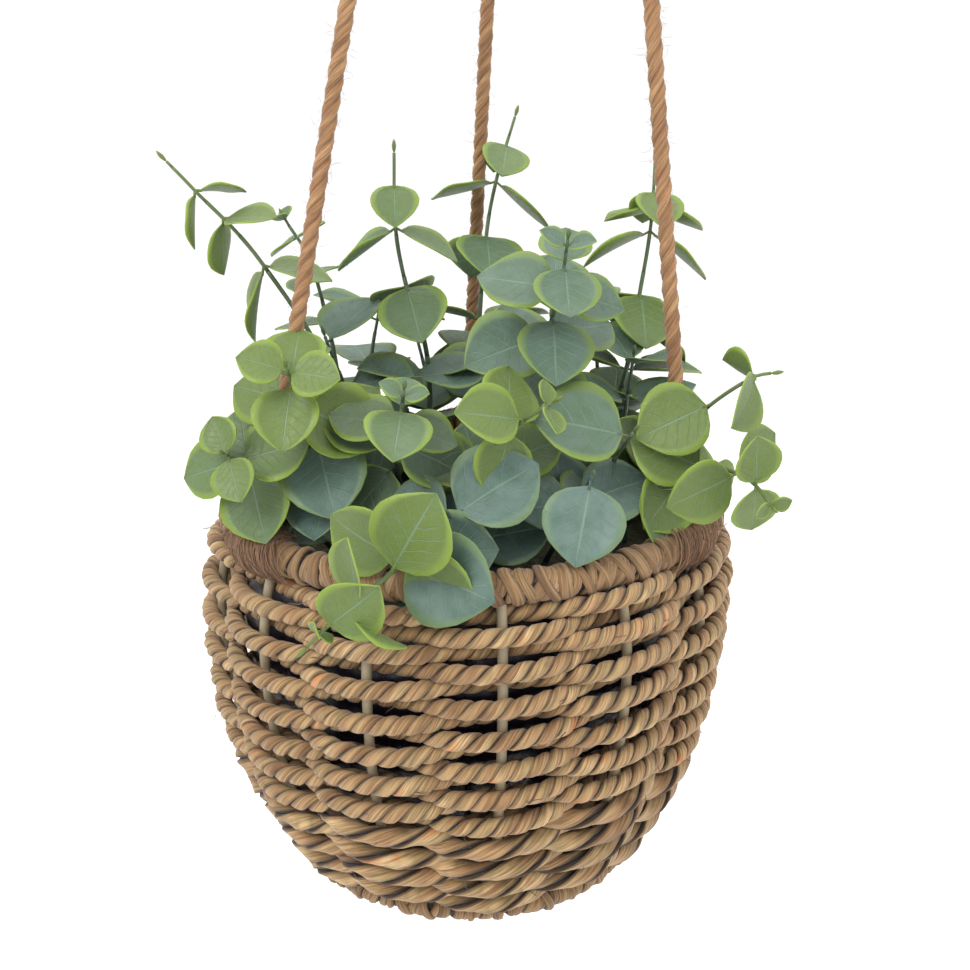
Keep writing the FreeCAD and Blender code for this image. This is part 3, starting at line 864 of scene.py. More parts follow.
@dataclass
class Hanger:
    """The rope eye, the whipping below it and the knot that gathers the three ropes."""

    place: Frame
    jute: bpy.types.Material
    whipping_turns: int = 7

    def build(self) -> None:
        """Make the eye, the whipping and the knot."""
        self.eye()
        self.whipping()
        self.knot()

    def eye(self) -> None:
        """Rope bent into the eye, both legs going down into the whipping."""
        place = self.place
        gap = math.asin(4.2 * MM / place.eye_radius)
        spine: Spine = []
        steps = 130
        for step in range(steps + 1):
            turn = gap + (2 * math.pi - 2 * gap) * step / steps
            spine.append(place.eye_centre + Vector((math.sin(turn), 0, -math.cos(turn))) * place.eye_radius)
        for leg in (0, -1):
            foot = spine[leg].copy()
            foot.z = place.whipping_low + 2 * MM
            foot.x *= 0.55
            run = [foot.lerp(spine[leg], share / 8) for share in range(8)]
            spine = run + spine if leg == 0 else spine + run[::-1]
        spine = resampled(spine, 1.1 * MM)
        maker = Maker("eye_rope")
        lay_rope(maker, spine, carried_normals(spine), JUTE_LAY, tint=0.4, ripple=0.07)
        maker.piece(self.jute, Slot.JUTE, Body.HANGER, ["hanging_loop"])

    def whipping(self) -> None:
        """Jute wound round both legs of the eye."""
        place = self.place
        height = place.whipping_high - place.whipping_low
        thick = height / self.whipping_turns / 2
        steps = self.whipping_turns * 36
        spine, outward = [], []
        for step in range(steps + 1):
            share = step / steps
            turn = 2 * math.pi * self.whipping_turns * share
            out = Vector((math.cos(turn), math.sin(turn), 0))
            radius = 7 * MM - thick + 0.25 * MM * math.sin(3.7 * turn)
            rise = place.whipping_low + thick + (height - 2 * thick) * share
            spine.append(out * radius + Vector((0, 0, rise)))
            outward.append(out)
        maker = Maker("whipping_twine")
        maker.strand(Strand(spine, thick * 1.12, thick, outward, tint=0.55, sides=10))
        core = [Vector((0, 0, place.whipping_low + 1 * MM)), Vector((0, 0, place.whipping_high - 1 * MM))]
        maker.strand(Strand(resampled(core, 2 * MM), 5.2 * MM, 5.2 * MM, None, tint=0.3, sides=20))
        maker.piece(self.jute, Slot.JUTE, Body.HANGER, ["rope_whipping"])

    def knot(self) -> None:
        """A round wound knot: bands of rope crossing over a ball, like a monkey's fist."""
        place = self.place
        maker = Maker("gathering_knot")
        rope = 2.6 * MM
        reach = place.knot_radius - rope
        bands = ((Vector((0, 0, 1)), 0.0), (Vector((1, 0.15, 0)), 0.35), (Vector((0.1, 1, 0)), 0.7))
        for axis, tint in bands:
            axis = axis.normalized()
            flat = axis.orthogonal().normalized()
            other = axis.cross(flat)
            for row in (-1, 0, 1):
                shift = row * rope * 1.95
                ring = math.sqrt(reach**2 - shift**2) + (0.35 * MM if row == 0 else 0.0)
                steps = 72
                spine = []
                for step in range(steps + 1):
                    turn = 2 * math.pi * step / steps
                    dip = 1.0 - 0.05 * (0.5 + 0.5 * math.cos(4 * turn))
                    spine.append(place.knot + axis * shift
                                 + (flat * math.cos(turn) + other * math.sin(turn)) * ring * dip)
                normals = [(point - place.knot).normalized() for point in spine]
                lay = Lay(3, 13 * MM, rope * 0.48, rope * 0.53, rope * 0.5)
                lay_rope(maker, spine, normals, lay, tint=0.3 + 0.4 * tint, ripple=0.05, sides=7)
        bmesh.ops.create_uvsphere(maker.bm, u_segments=24, v_segments=16, radius=reach - rope * 0.35,
                                  matrix=Matrix.Translation(place.knot))
        maker.piece(self.jute, Slot.JUTE, Body.KNOT, ["hanging_knot"])


@dataclass
class Lashings:
    """Jute wound round the rim at the foot of each rope, its ends frayed into a mat of fibres."""

    place: Frame
    jute: bpy.types.Material
    azimuths: dict[str, float]
    turns: int = 7
    spread: float = 8.5 * MM
    mat: int = 520
    wisps: int = 260

    def build(self) -> None:
        """Make the three lashings."""
        for number, (side, azimuth) in enumerate(self.azimuths.items()):
            self.lashing(side, azimuth, random.Random(40 + number))

    def saddle(self, azimuth: float, along: float, turn: float, radius: float) -> Vector:
        """A point on a tube round the rim; turn 0 faces out and a quarter turn up."""
        place = self.place
        away = place.rim_radius + radius * math.cos(turn)
        return place.around(azimuth + along / place.rim_radius, away, place.rim_z + radius * math.sin(turn))

    def lashing(self, side: str, azimuth: float, dice: random.Random) -> None:
        """One lashing: windings, the rope's tucked end and the frayed mat."""
        place = self.place
        maker = Maker(f"jute_lashing_{side}")
        radius = place.rim_tube + 1.3 * MM
        steps = self.turns * 40
        spine, outward = [], []
        for step in range(steps + 1):
            share = step / steps
            turn = 2 * math.pi * self.turns * share + 1.2
            along = (share - 0.5) * 19 * MM + 1.6 * MM * math.sin(turn * 0.7)
            spine.append(self.saddle(azimuth, along, turn, radius + 0.5 * MM * math.sin(turn * 1.7)))
            outward.append(spine[-1] - self.saddle(azimuth, along, turn, 0.0))
        maker.strand(Strand(spine, 1.7 * MM, 1.3 * MM, outward, tint=0.45, ripple=0.12, sides=9))
        for _ in range(self.mat):
            first = dice.gauss(0, 0.55) * self.spread
            last = first * 1.5 + dice.gauss(0, 0.5) * self.spread
            high, low = dice.uniform(0.25, 0.8) * math.pi, dice.uniform(-0.45, 0.12) * math.pi
            lift, wave, phase = dice.uniform(0.2, 1.7) * MM, dice.uniform(0, 1.3) * MM, dice.uniform(0, 6)
            flow = []
            for step in range(10):
                share = step / 9
                along = first + (last - first) * share + wave * math.sin(share * 6 + phase)
                bulge = 2.2 * MM * math.exp(-(along / self.spread) ** 2) * math.sin(math.pi * (0.15 + 0.7 * share))
                flow.append(self.saddle(azimuth, along, high + (low - high) * share, radius + lift + bulge))
            maker.strand(Strand(flow, *[dice.uniform(0.12, 0.30) * MM] * 2, None, tint=dice.random(), taper=0.5,
                                ripple=0.0, sides=4))
        for _ in range(self.wisps):
            along = min(max(dice.gauss(0, 1) * self.spread, -self.spread * 2.2), self.spread * 2.2)
            turn = dice.gauss(0.3, 0.9)
            root = self.saddle(azimuth, along, turn, radius + 1.2 * MM)
            out = (root - self.saddle(azimuth, along, turn, 0.0)).normalized()
            way = out + Vector((dice.gauss(0, 0.7), dice.gauss(0, 0.7), dice.gauss(-0.2, 0.7)))
            hair(maker, root, way, dice.uniform(4, 9.5) * MM, 0.05 * MM, dice, curl=0.8, steps=6)
        maker.piece(self.jute, Slot.JUTE, Body.BASKET, [f"lashing_{side}"])


# ---------------------------------------------------------------------------------------------
# The basket
# ---------------------------------------------------------------------------------------------


@dataclass
class Weave:
    """One long two-strand rope that spirals up the wall, in front of and behind the stakes in turn."""

    place: Frame
    wall: Wall
    seagrass: bpy.types.Material
    rope: float = 5.6 * MM
    swing: float = 4.4 * MM
    first: float = 9 * MM
    last: float = 9 * MM
    skew: float = math.radians(2.8)
    flat_courses: int = 8
    steps: int = 600
    stray: int = 16
    tight: Lay = Lay(2, 13.2 * MM, 1.60 * MM, 2.35 * MM, 1.78 * MM, -1)
    flat: Lay = Lay(2, 38 * MM, 1.50 * MM, 3.3 * MM, 1.55 * MM, -1)

    def pitch(self) -> float:
        """Distance between courses along the wall."""
        return (self.span()[1] - self.span()[0]) / (COURSES - 1)

    def span(self) -> tuple[float, float]:
        """Where the lowest and the highest course lie along the wall."""
        return -self.wall.low_length + self.first, self.wall.crown_length - self.last

    def centre(self, turns: float) -> tuple[Vector, Vector]:
        """The rope's centre after so many turns round the wall.

        Args:
            turns: turns from the seam at the back, where course 1 starts at 0.

        Returns:
            The point and the outward direction there.
        """
        low, high = self.span()
        azimuth = 2 * math.pi * (turns - 0.5)
        along = low + (turns - 0.5) * self.pitch()
        share = min(max((along - low) / (high - low), 0.0), 1.0)
        wave = math.cos(STAKES / 2 * azimuth - math.pi / 4)
        loose = max(0.0, 1 - turns / self.flat_courses)
        swing = math.copysign(abs(wave) ** 0.75, wave) * self.swing * (1 - 0.35 * loose)
        wander = noise.noise((math.sin(azimuth) * 1.7, math.cos(azimuth) * 1.7, turns * 2.3))
        along += wander * (0.8 + 0.9 * loose) * MM
        radius, height = self.wall.point(along, swing + wander * 0.6 * MM)
        height += math.sin(azimuth) * radius * math.tan(self.skew) * math.sin(math.pi * share) ** 0.7
        point = self.place.around(azimuth, radius, height)
        before = self.wall.point(along, 0.0)
        after = self.wall.point(along, 1 * MM)
        out = self.place.around(azimuth, *after) - self.place.around(azimuth, *before)
        return point, out.normalized()

    def build(self) -> None:
        """Make each course as its own piece, each starting where the one below ends."""
        steps = self.steps
        start = 0.0
        for course in range(COURSES):
            maker = Maker(f"seagrass_course_{course + 1:02d}")
            places = [self.centre(course + step / steps) for step in range(steps + 1)]
            spine = [point for point, _ in places]
            outward = [out for _, out in places]
            lay = self.flat if course < self.flat_courses else self.tight
            dice = random.Random(course)
            lay_rope(maker, spine, outward, lay, start, tint=dice.uniform(0.2, 0.8), ripple=0.11, sides=8,
                     looseness=lambda share, seed=course: 1.0 + 0.28 * noise.noise((share * 9, seed * 3.1, 0.5)))
            self.loose_fibres(maker, spine, outward, dice)
            start += line_length(spine)
            maker.piece(self.seagrass, Slot.SEAGRASS, Body.BASKET, [f"weave_{course + 1:02d}"])

    def loose_fibres(self, maker: Maker, spine: Spine, outward: list[Vector], dice: random.Random) -> None:
        """A few split fibres that lift off a course."""
        along = tangents(spine)
        for _ in range(self.stray):
            step = dice.randrange(3, len(spine) - 3)
            root = spine[step] + outward[step] * (self.rope * 0.46)
            way = along[step] * dice.choice((-1, 1)) + outward[step] * dice.uniform(0.1, 0.7)
            way += Vector((0, 0, dice.uniform(-0.4, 0.4)))
            hair(maker, root, way, dice.uniform(3, 9) * MM, dice.uniform(0.08, 0.22) * MM, dice, curl=0.35)


@dataclass
class Wound:
    """A ring of wire wound with seagrass: the rim or the base ring."""

    place: Frame
    wrap: bpy.types.Material
    name: str
    node: str
    radius: float
    height: float
    tube: float
    turns: int
    strip: float
    second: int
    lean: float

    def winding(self, maker: Maker, turns: int, tube: float, strip: float, lean: float, dice: random.Random
                ) -> None:
        """Wind strips round the ring, each turn with its own width, slant and tint.

        Args:
            maker: the mesh they go in.
            turns: windings in a whole round.
            tube: radius of the windings' centre line.
            strip: half a strip's usual width.
            lean: how far a winding slants along the ring, forwards or back by its sign.
            dice: the source of what differs between windings.
        """
        steps = 18
        for number in range(turns):
            base = 2 * math.pi * (number + dice.uniform(-0.3, 0.3)) / turns
            slant = lean * dice.uniform(0.3, 1.4)
            reach = tube + dice.uniform(-0.35, 0.35) * MM
            spine, outward = [], []
            for step in range(steps + 1):
                turn = 2.2 * math.pi * (step / steps) - 0.85 * math.pi
                azimuth = base + (slant * math.sin(turn) + 0.5 * MM * math.sin(turn * 2 + number)) / self.radius
                centre = self.place.around(azimuth, self.radius, self.height)
                out = self.place.around(azimuth, self.radius + 1, self.height) - centre
                away = out * math.cos(turn) + Vector((0, 0, 1)) * math.sin(turn)
                spine.append(centre + away * reach)
                outward.append(away)
            maker.strand(Strand(spine, strip * dice.uniform(0.65, 1.2), 1.1 * MM, outward, tint=dice.random(),
                                ripple=0.14, sides=8))

    def build(self) -> None:
        """Make the core and its windings."""
        dice = random.Random(self.name)
        maker = Maker(self.name)
        core = [self.place.around(2 * math.pi * step / 160, self.radius, self.height) for step in range(161)]
        inner = self.tube - 1.5 * MM
        maker.strand(Strand(core, inner, inner, None, tint=0.2, sides=12, ripple=0))
        self.winding(maker, self.turns, self.tube - 1.1 * MM, self.strip, self.lean, dice)
        self.winding(maker, self.second, self.tube - 0.4 * MM, self.strip * 0.8, -1.2 * self.lean, dice)
        maker.piece(self.wrap, Slot.WRAP, Body.BASKET, [self.node])


@dataclass
class BaseFloor:
    """The base inside its ring: one rope coiled flat."""

    place: Frame
    wrap: bpy.types.Material
    rope: float = 5.6 * MM

    def build(self) -> None:
        """Coil the rope from the middle out."""
        low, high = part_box("base_floor")
        outer = (high[0] - low[0]) / 2 - self.rope / 2
        height = low[2] + self.rope * 0.42
        turns = outer / (self.rope * 1.02)
        steps = int(turns * 110)
        spine = []
        for step in range(14, steps + 1):
            share = step / steps
            spine.append(self.place.around(2 * math.pi * turns * share, outer * share, height))
        spine = resampled(spine, 1.7 * MM)
        up = [Vector((0, 0, -1))] * len(spine)
        maker = Maker("coiled_base")
        lay = Lay(2, 15 * MM, self.rope * 0.2, self.rope * 0.33, self.rope * 0.26)
        lay_rope(maker, spine, up, lay, tint=0.5, ripple=0.08, sides=7)
        maker.piece(self.wrap, Slot.WRAP, Body.BASKET, ["base_floor"])


@dataclass
class Filling:
    """The creased film liner and the moss on the foam."""

    place: Frame
    wall: Wall
    film: bpy.types.Material
    moss: bpy.types.Material

    def build(self) -> None:
        """Make the liner and the moss."""
        self.liner()
        self.foam()

    def liner(self) -> None:
        """A thin film pressed against the inside of the weave, with creases."""
        low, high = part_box("liner")
        inset = -8.6 * MM
        maker = Maker("film_liner")
        bottom = -self.wall.low_length + 8 * MM
        top = self.wall.crown_length - 4 * MM
        floor_z = low[2] + 0.5 * MM

        def place(first: float, second: float) -> Vector:
            azimuth = 2 * math.pi * first
            if second < 0.2:
                radius, _ = self.wall.point(bottom, inset)
                return self.place.around(azimuth, max(radius * second / 0.2, 0.02 * MM), floor_z)
            along = bottom + (top - bottom) * (second - 0.2) / 0.8
            radius, height = self.wall.point(along, inset)
            crease = noise.noise((math.cos(azimuth) * 5, math.sin(azimuth) * 5, along * 60))
            fold = abs(math.sin(azimuth * 23 + 3 * crease)) * noise.noise((azimuth * 4, along * 18, 2.0))
            shift = (crease * 0.9 + fold * 1.6) * MM
            return self.place.around(azimuth, radius + min(shift, 1.2 * MM), max(height, floor_z))

        made = maker.grid(150, 44, place, weld=0.004 * MM)
        for vert in made:
            vert[maker.tint] = 0.5
        liner = maker.piece(self.film, Slot.LINER, Body.BASKET, ["liner"])
        solid = liner.modifiers.new("film", "SOLIDIFY")
        solid.thickness, solid.offset = 0.3 * MM, -1.0

    def foam(self) -> None:
        """The foam's bumpy, mossy top and its side."""
        top, base = self.place.foam_top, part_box("foam")[0][2]
        outer = (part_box("foam")[1][0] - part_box("foam")[0][0]) / 2
        maker = Maker("mossy_foam")
        brim = self.wall.crown_length - 19 * MM
        bottom = -self.wall.low_length + 10 * MM

        def place(first: float, second: float) -> Vector:
            azimuth = 2 * math.pi * first
            if second < 0.5:
                share = second / 0.5
                radius = max((outer - 2.5 * MM) * share, 0.02 * MM)
                bump = noise.noise((radius * 60 * math.cos(azimuth), radius * 60 * math.sin(azimuth), 1.0))
                fine = noise.noise((radius * 240 * math.cos(azimuth), radius * 240 * math.sin(azimuth), 5.0))
                drop = 5 * MM * share**6
                return self.place.around(azimuth, radius, top - 2 * MM + (bump * 2.0 + fine * 1.1) * MM - drop)
            share = (second - 0.5) / 0.5
            radius, height = self.wall.point(brim + (bottom - brim) * share, -9.9 * MM)
            if share > 0.9:
                radius = max(radius * (1 - (share - 0.9) / 0.1), 0.02 * MM)
            return self.place.around(azimuth, radius, max(min(height, top - 4 * MM), base))

        maker.grid(110, 60, place, weld=0.004 * MM)
        maker.piece(self.moss, Slot.FOAM, Body.BASKET, ["foam"])


# ---------------------------------------------------------------------------------------------
# Eucalyptus
# ---------------------------------------------------------------------------------------------


@dataclass(frozen=True)
class Shoot:
    """One stem with its leaves.

    Attributes:
        route: points of the stem in millimetres, from the basket's axis at the rim's height.
        leaves: rows of share of the stem's length, turn about the stem, lift towards its tip, length,
            and length of the leaf opposite or 0 for none; angles are in degrees, lengths in millimetres.
            Turn 0 faces +X and 90 is a quarter turn on, seen against the way that the stem grows.
        youth: 0 for old grey leaves to 1 for young yellow-green ones.
        nearer: how far its tip leans towards the front, in millimetres, so that it hides the rope's foot.
    """

    route: tuple[tuple[float, float, float], ...]
    leaves: tuple[tuple[float, float, float, float, float], ...]
    youth: float
    nearer: float = 0.0


SPRIGS: dict[str, tuple[Shoot, ...]] = {
    "sprig_arching_left": (
        Shoot(((-38, 6, -22), (-46, -12, 45), (-68, -25, 91), (-89, -25, 115), (-97, -26, 124)), (
            (0.73, 10, -45, 21, 24), (0.85, -25, -42, 18, 18), (0.925, 20, -42, 15, 17)), youth=0.8),
        Shoot(((-52, 24, -22), (-48, 24, 30), (-56, 25, 78), (-66, 25, 98)), (
            (0.45, 90, 0, 22, 24), (0.68, 0, 5, 22, 18), (0.82, 60, -10, 16, 14),
            (0.93, -20, 0, 12, 12), (0.99, 70, 30, 6, 6)), youth=0.5),
    ),
    "sprig_tall_left": (
        Shoot(((-16, 14, -22), (-14, 5, 47), (-22, 2, 80), (-25, 0, 100), (-25, 0, 124)), (
            (0.45, 10, 10, 24, 24), (0.7, -80, -38, 24, 24), (0.83, 0, -30, 22, 23),
            (0.93, -85, -45, 16, 14)), youth=0.6),
        Shoot(((-40, 20, -22), (-42, 4, 30), (-50, -6, 62)), (
            (0.5, 60, 10, 24, 24), (0.75, -10, 10, 25, 25), (0.97, 50, 5, 25, 22)), youth=0.25),
    ),
    "sprig_tall_back": (
        Shoot(((4, 36, -22), (4, 42, 40), (7, 50, 85), (11, 55, 108), (18, 60, 131)), (
            (0.5, 20, 5, 26, 26), (0.71, -80, -38, 25, 25), (0.845, 0, -25, 25, 23),
            (0.93, -85, -40, 18, 14)), youth=0.6),
        Shoot(((-30, 40, -22), (-38, 52, 30), (-34, 54, 62)), (
            (0.45, 20, 15, 26, 26), (0.7, 110, 10, 26, 24), (0.92, 0, 10, 24, 24)), youth=0.3),
        Shoot(((-8, 56, -22), (-14, 64, 18), (-22, 78, 48)), (
            (0.5, 90, 15, 26, 26), (0.75, 0, 15, 24, 24), (0.97, 90, 30, 18, 18)), youth=0.3),
    ),
    "sprig_high_right": (
        Shoot(((20, 4, -22), (20, -6, 40), (27, -24, 68), (30, -40, 87), (31, -50, 103)), (
            (0.67, -155, -12, 28, 26), (0.755, -92, 0, 25, 24), (0.86, 168, -12, 25, 20),
            (0.93, -92, -5, 21, 17), (0.985, 165, 25, 9, 9)), youth=0.38),
        Shoot(((60, 8, -22), (58, 10, 20), (60, 6, 52)), (
            (0.5, 100, 15, 26, 26), (0.78, 10, 10, 24, 24), (0.97, -60, 20, 18, 18)), youth=0.3),
    ),
    "sprig_back_right": (
        Shoot(((38, 30, -22), (58, 30, 30), (65, 32, 73), (68, 35, 96), (69, 40, 119)), (
            (0.45, 0, 10, 26, 26), (0.66, -85, -38, 25, 25), (0.81, 0, -30, 25, 25),
            (0.865, 15, -15, 19, 17), (0.91, -75, -45, 18, 14)), youth=0.7),
        Shoot(((48, 44, -22), (52, 48, 24), (48, 52, 66)), (
            (0.5, 90, 15, 26, 26), (0.75, 10, 10, 25, 25), (0.95, 80, 10, 20, 20)), youth=0.3),
    ),
    "sprig_leaning_right": (
        Shoot(((46, 2, -22), (62, -14, 14), (80, -26, 40), (95, -30, 53), (102, -30, 55)), (
            (0.55, 70, 20, 22, 22), (0.81, 210, -45, 25, 0), (0.95, -80, -35, 20, 14)), youth=0.85, nearer=24),
        Shoot(((44, -16, -22), (66, -28, 12), (82, -38, 24), (93, -50, 24), (98, -63, 20)), (
            (0.52, -100, -10, 25, 24), (0.66, 150, -25, 25, 22), (0.8, -155, -15, 23, 20),
            (0.91, 95, -5, 16, 17), (0.99, 20, 20, 6, 6)), youth=0.85, nearer=18),
    ),
    "sprig_front_right": (
        Shoot(((22, -34, -22), (36, -50, 14), (39, -72, 33)), (
            (0.62, 20, 10, 24, 24), (0.98, -100, -12, 26, 0)), youth=0.0),
        Shoot(((34, -20, -22), (46, -34, 18), (54, -52, 41)), (
            (0.6, 60, 10, 22, 22), (0.97, 178, -8, 30, 0)), youth=0.4),
    ),
    "sprig_centre": (
        Shoot(((4, -22, -22), (8, -50, 34), (16, -66, 48), (26, -73, 57)), (
            (0.55, 20, 5, 24, 26), (0.8, -100, -20, 21, 22), (0.88, 185, -15, 21, 0),
            (0.97, -75, 10, 10, 8)), youth=0.75),
        Shoot(((16, 18, -22), (10, 10, 26), (8, 2, 50)), (
            (0.5, 20, 10, 26, 26), (0.78, 110, 5, 26, 26), (0.98, 10, 5, 24, 24)), youth=0.15),
    ),
    "sprig_centre_left": (
        Shoot(((-12, -20, -22), (-24, -45, 26), (-22, -58, 44), (-20, -66, 59)), (
            (0.6, -130, -12, 26, 22), (0.74, -20, -8, 24, 24), (0.85, 165, -10, 22, 18),
            (0.92, -95, -5, 21, 14), (0.985, 170, 20, 8, 8)), youth=0.5),
    ),
    "sprig_left_head": (
        Shoot(((-34, -14, -22), (-52, -28, 30), (-57, -42, 52), (-58, -53, 63)), (
            (0.6, 40, 0, 26, 26), (0.78, -25, -12, 26, 24), (0.9, 85, -8, 20, 21),
            (0.975, -12, 5, 16, 15)), youth=0.8, nearer=16),
    ),
    "sprig_far_left": (
        Shoot(((-48, -4, -22), (-66, -20, 10), (-75, -36, 24), (-80, -50, 33)), (
            (0.62, -105, -5, 22, 22), (0.8, -75, -8, 24, 20), (0.9, 12, -8, 22, 20),
            (0.985, 112, 5, 13, 15)), youth=0.62, nearer=16),
        Shoot(((-30, -26, -22), (-46, -32, 14), (-52, -34, 36)), (
            (0.55, -60, 0, 25, 24), (0.75, -100, -20, 24, 0), (0.97, -80, -35, 28, 24)), youth=0.08, nearer=12),
    ),
    "sprig_low_front": (
        Shoot(((-8, -40, -22), (-16, -66, 4), (-22, -88, 12)), (
            (0.6, 40, 0, 24, 24), (0.82, 0, -10, 26, 26), (0.97, -25, -5, 30, 0)), youth=0.05),
        Shoot(((2, -40, -22), (0, -60, 6), (-6, -78, 22)), (
            (0.6, 10, 0, 26, 24), (0.96, 30, -10, 30, 0), (0.9, 165, -15, 25, 0)), youth=0.0),
    ),
    "sprig_over_rim": (
        Shoot(((-20, -44, -22), (-18, -76, 8), (-25, -98, 9), (-37, -108, 3), (-48, -113, -7)), (
            (0.66, 65, -20, 27, 0), (0.8, 120, -20, 19, 0), (0.84, -30, -20, 21, 0),
            (0.93, 70, -65, 21, 0), (0.955, 120, -20, 6, 6)), youth=0.95),
    ),
}

# A leaf's half width at shares of its length.
LEAF_EDGE = ((0.0, 0.0), (0.05, 0.20), (0.14, 0.37), (0.28, 0.475), (0.44, 0.51), (0.60, 0.475), (0.75, 0.37),
             (0.87, 0.225), (0.95, 0.095), (1.0, 0.0))


def leaf_half_width(share: float) -> float:
    """A leaf's half width at a share of its length, as a share of its length."""
    for (start, low), (end, high) in zip(LEAF_EDGE, LEAF_EDGE[1:]):
        if share <= end:
            return low + (high - low) * (share - start) / (end - start)
    return 0.0


@dataclass
class Foliage:
    """All the sprigs, one piece of leaves and one of stems for each."""

    place: Frame
    leaf: bpy.types.Material
    stem: bpy.types.Material
    dense: float = 0.68

    def build(self) -> None:
        """Make every sprig."""
        for name, shoots in SPRIGS.items():
            dice = random.Random(name)
            leaves, stems = Maker(name + "_leaves"), Maker(name + "_stems")
            for shoot in shoots:
                self.grow(leaves, stems, shoot, dice)
            blades = leaves.piece(self.leaf, Slot.EUCALYPTUS, Body.BASKET, [name], outwards=False)
            solid = blades.modifiers.new("thickness", "SOLIDIFY")
            solid.thickness, solid.offset = 0.45 * MM, 0.0
            stems.piece(self.stem, Slot.EUCALYPTUS, Body.BASKET)

    def grow(self, leaves: Maker, stems: Maker, shoot: Shoot, dice: random.Random) -> None:
        """Grow one shoot's stem, leaves and bud."""
        eye = Vector((self.place.axis_x, 0, self.place.rim_z)) + Vector(VIEWPOINT) * MM
        route = []
        for number, (x, y, z) in enumerate(shoot.route):
            point = Vector((self.place.axis_x + x * MM, y * MM, self.place.rim_z + z * MM))
            lean = shoot.nearer * MM * min(1.0, 1.5 * number / (len(shoot.route) - 1))
            route.append(point + (eye - point).normalized() * lean)
        spine = resampled(smoothed(route, 10), 2.5 * MM)
        count = len(spine) - 1
        for start in range(0, count, 6):
            end = min(start + 6, count)
            share = start / count
            girth = (1.25 - 0.75 * share) * MM
            stems.strand(Strand(spine[start:end + 1], girth, girth, None, tint=0.2 + 0.7 * share * shoot.youth,
                                ripple=0.04, sides=8))
        along = tangents(spine)
        low = [row for row in shoot.leaves if row[0] < self.dense]
        between = [(share - 0.09, turn + 90, lift + 12, length * 0.9, length * 0.85)
                   for share, turn, lift, length, _ in low]
        for share, turn, lift, length, opposite in (*shoot.leaves, *between):
            step = min(round(share * count), count)
            root, way = spine[step], along[step]
            side = (Vector((1, 0, 0)) - way * way.x).normalized()
            rise = math.radians(lift + dice.uniform(-4, 4))
            for half, reach in ((0.0, length), (math.pi, opposite)):
                if reach == 0:
                    continue
                around = math.radians(turn + dice.uniform(-4, 4)) + half
                out = Matrix.Rotation(around, 3, way) @ side
                youth = min(1.0, max(0.0, shoot.youth * (0.45 + 0.75 * share) + dice.uniform(-0.07, 0.07)))
                self.blade(leaves, stems, root, out, way, rise, reach * MM, youth, dice)
        self.bud(stems, spine[-1], along[-1], shoot.youth)

    def blade(self, leaves: Maker, stems: Maker, root: Vector, out: Vector, way: Vector, lift: float,
              length: float, youth: float, dice: random.Random) -> None:
        """One leaf on its short stalk.

        Args:
            leaves: the mesh of the blades.
            stems: the mesh of the stalks.
            root: where the stalk leaves the stem.
            out: the way out from the stem.
            way: the way up the stem.
            lift: how far the leaf rises from out towards way.
            length: the blade's length.
            youth: its tint.
            dice: the source of its shape.
        """
        ahead = (out * math.cos(lift) + way * math.sin(lift)).normalized()
        face = (way * math.cos(lift) - out * math.sin(lift)).normalized()
        across = face.cross(ahead)
        stalk = length * 0.09
        base = root + ahead * stalk
        cup, bow = dice.uniform(0.05, 0.16), dice.uniform(-0.10, 0.16)
        wave, twist = dice.uniform(0.0, 0.02), dice.uniform(-0.10, 0.10)
        phase = dice.uniform(0, 6)
        stems.strand(Strand([root, root + ahead * stalk * 0.6, base + ahead * length * 0.06], 0.5 * MM, 0.45 * MM,
                            None, tint=youth, ripple=0.0, sides=6))

        def place(first: float, second: float) -> Vector:
            half = leaf_half_width(first)
            wide = (second - 0.5) * 2
            rise = cup * wide**2 * half * 2 + bow * first * (1 - first) - 0.006 * (1 - abs(wide)) ** 6
            rise += wave * math.sin(first * 9 + phase) * wide**2 + twist * wide * half * first
            return base + (ahead * first + across * wide * half + face * rise) * (length * 1.02)

        made = leaves.grid(12, 8, place, 1.0, youth, lambda first, second: abs(second - 0.5) * 2)
        bmesh.ops.remove_doubles(leaves.bm, verts=made, dist=length * 0.0008)

    def bud(self, stems: Maker, tip: Vector, way: Vector, youth: float) -> None:
        """The pointed bud at a shoot's end."""
        spine = [tip + way * (4.5 * MM * share / 6) for share in range(7)]
        stems.strand(Strand(spine, 0.9 * MM, 0.8 * MM, None, tint=0.4 + 0.6 * youth, taper=0.6,
                            ripple=0.0, sides=7))


# ---------------------------------------------------------------------------------------------
# Studio
# ---------------------------------------------------------------------------------------------


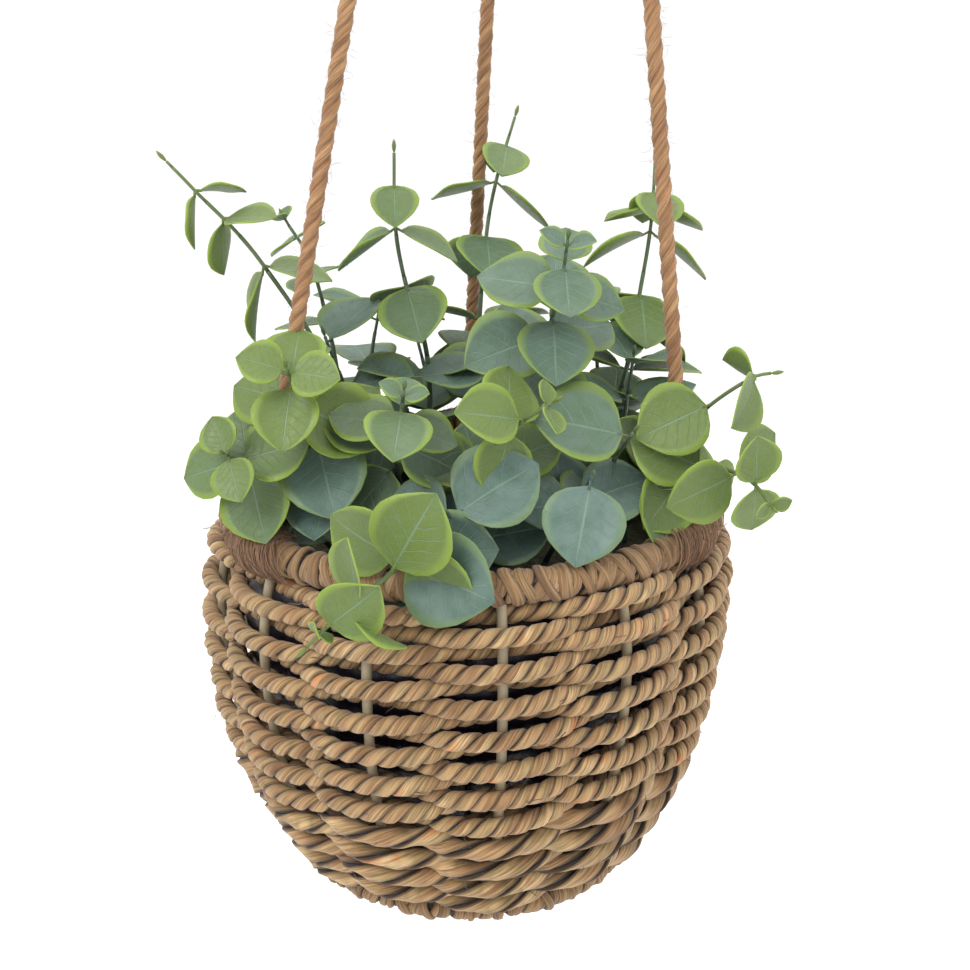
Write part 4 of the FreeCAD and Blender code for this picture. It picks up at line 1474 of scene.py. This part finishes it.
@dataclass
class Studio:
    """Camera, pale floor and soft light."""

    place: Frame
    pitch: float = math.radians(20.93)
    lens: float = 51.96
    shift: tuple[float, float] = (0.0227, 0.0452)
    floor_drop: float = 0.30

    def build(self) -> None:
        """Set the camera, the floor and the lights."""
        scene = bpy.context.scene
        scene.view_settings.view_transform = "Standard"
        camera = bpy.data.objects.new("camera", bpy.data.cameras.new("camera"))
        camera.location = Vector((self.place.axis_x, 0, self.place.rim_z)) + Vector(VIEWPOINT) * MM
        camera.rotation_euler = (math.pi / 2 - self.pitch, 0, 0)
        camera.data.lens = self.lens
        camera.data.sensor_width = 36
        camera.data.shift_x, camera.data.shift_y = self.shift
        camera.data.clip_start = 0.01
        scene.collection.objects.link(camera)
        scene.camera = camera

        floor = bmesh.new()
        bmesh.ops.create_grid(floor, x_segments=1, y_segments=1, size=60.0,
                              matrix=Matrix.Translation((0, 0, self.place.base_z - self.floor_drop)))
        mesh = bpy.data.meshes.new("floor")
        floor.to_mesh(mesh)
        floor.free()
        paint = bpy.data.materials.new("floor_paint")
        paint.use_nodes = True
        shader = paint.node_tree.nodes["Principled BSDF"]
        shader.inputs["Base Color"].default_value = (0.95, 0.95, 0.95, 1)
        shader.inputs["Roughness"].default_value = 0.8
        mesh.materials.append(paint)
        ground = bpy.data.objects.new("floor", mesh)
        scene.collection.objects.link(ground)

        world = bpy.data.worlds.new("studio")
        world.use_nodes = True
        world.node_tree.nodes["Background"].inputs["Color"].default_value = (1.0, 1.0, 1.0, 1)
        world.node_tree.nodes["Background"].inputs["Strength"].default_value = 1.08
        scene.world = world
        self.lamp("key", (-0.8, -1.0, 1.2), 0.9, 20)
        self.lamp("fill", (1.2, -0.7, 0.5), 1.2, 6)
        self.lamp("top", (0.1, 0.3, 1.4), 1.2, 9)

    def lamp(self, name: str, offset: tuple[float, float, float], size: float, power: float) -> None:
        """One soft square light that faces the basket."""
        target = Vector((self.place.axis_x, 0, self.place.rim_z))
        light = bpy.data.lights.new(name, "AREA")
        light.shape, light.size, light.energy = "SQUARE", size, power
        lamp = bpy.data.objects.new(name, light)
        lamp.location = target + Vector(offset)
        lamp.rotation_euler = (-Vector(offset)).to_track_quat("-Z", "Y").to_euler()
        bpy.context.scene.collection.objects.link(lamp)


def dress(name: str, material: bpy.types.Material) -> None:
    """Give a CAD node that stays its finish."""
    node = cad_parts[name]
    node.data.materials.clear()
    node.data.materials.append(material)


def main() -> None:
    """Build the planter."""
    logging.basicConfig(level=logging.INFO, format="%(message)s")
    place = Frame.read()
    wall = Wall(place)
    Studio(place).build()

    group = fibre_group()
    seagrass, wrap, jute = (finish.material(group) for finish in (SEAGRASS, WRAPPING, JUTE))
    stake, wire, film = (finish.material() for finish in (STAKE_COAT, WIRE_COAT, FILM))
    ropes = Ropes(place, jute)
    ropes.build()
    Hanger(place, jute).build()
    Lashings(place, jute, ropes.azimuths).build()
    Weave(place, wall, seagrass).build()
    Wound(place, wrap, "wound_rim", "rim_binding", place.rim_radius, place.rim_z, place.rim_tube,
          turns=128, strip=2.7 * MM, second=84, lean=2.2 * MM).build()
    Wound(place, wrap, "wound_base_ring", "base_binding", place.base_radius, place.base_ring_z, place.base_tube,
          turns=104, strip=2.2 * MM, second=30, lean=1.0 * MM).build()
    BaseFloor(place, wrap).build()
    Filling(place, wall, film, MossFinish().material()).build()
    Foliage(place, LeafFinish().material(), StemFinish().material()).build()
    for number in range(STAKES):
        dress(f"stake_{number + 1:02d}", stake)
    dress("rim_wire", wire)
    dress("base_wire", wire)


if __name__ == "__main__":
    main()
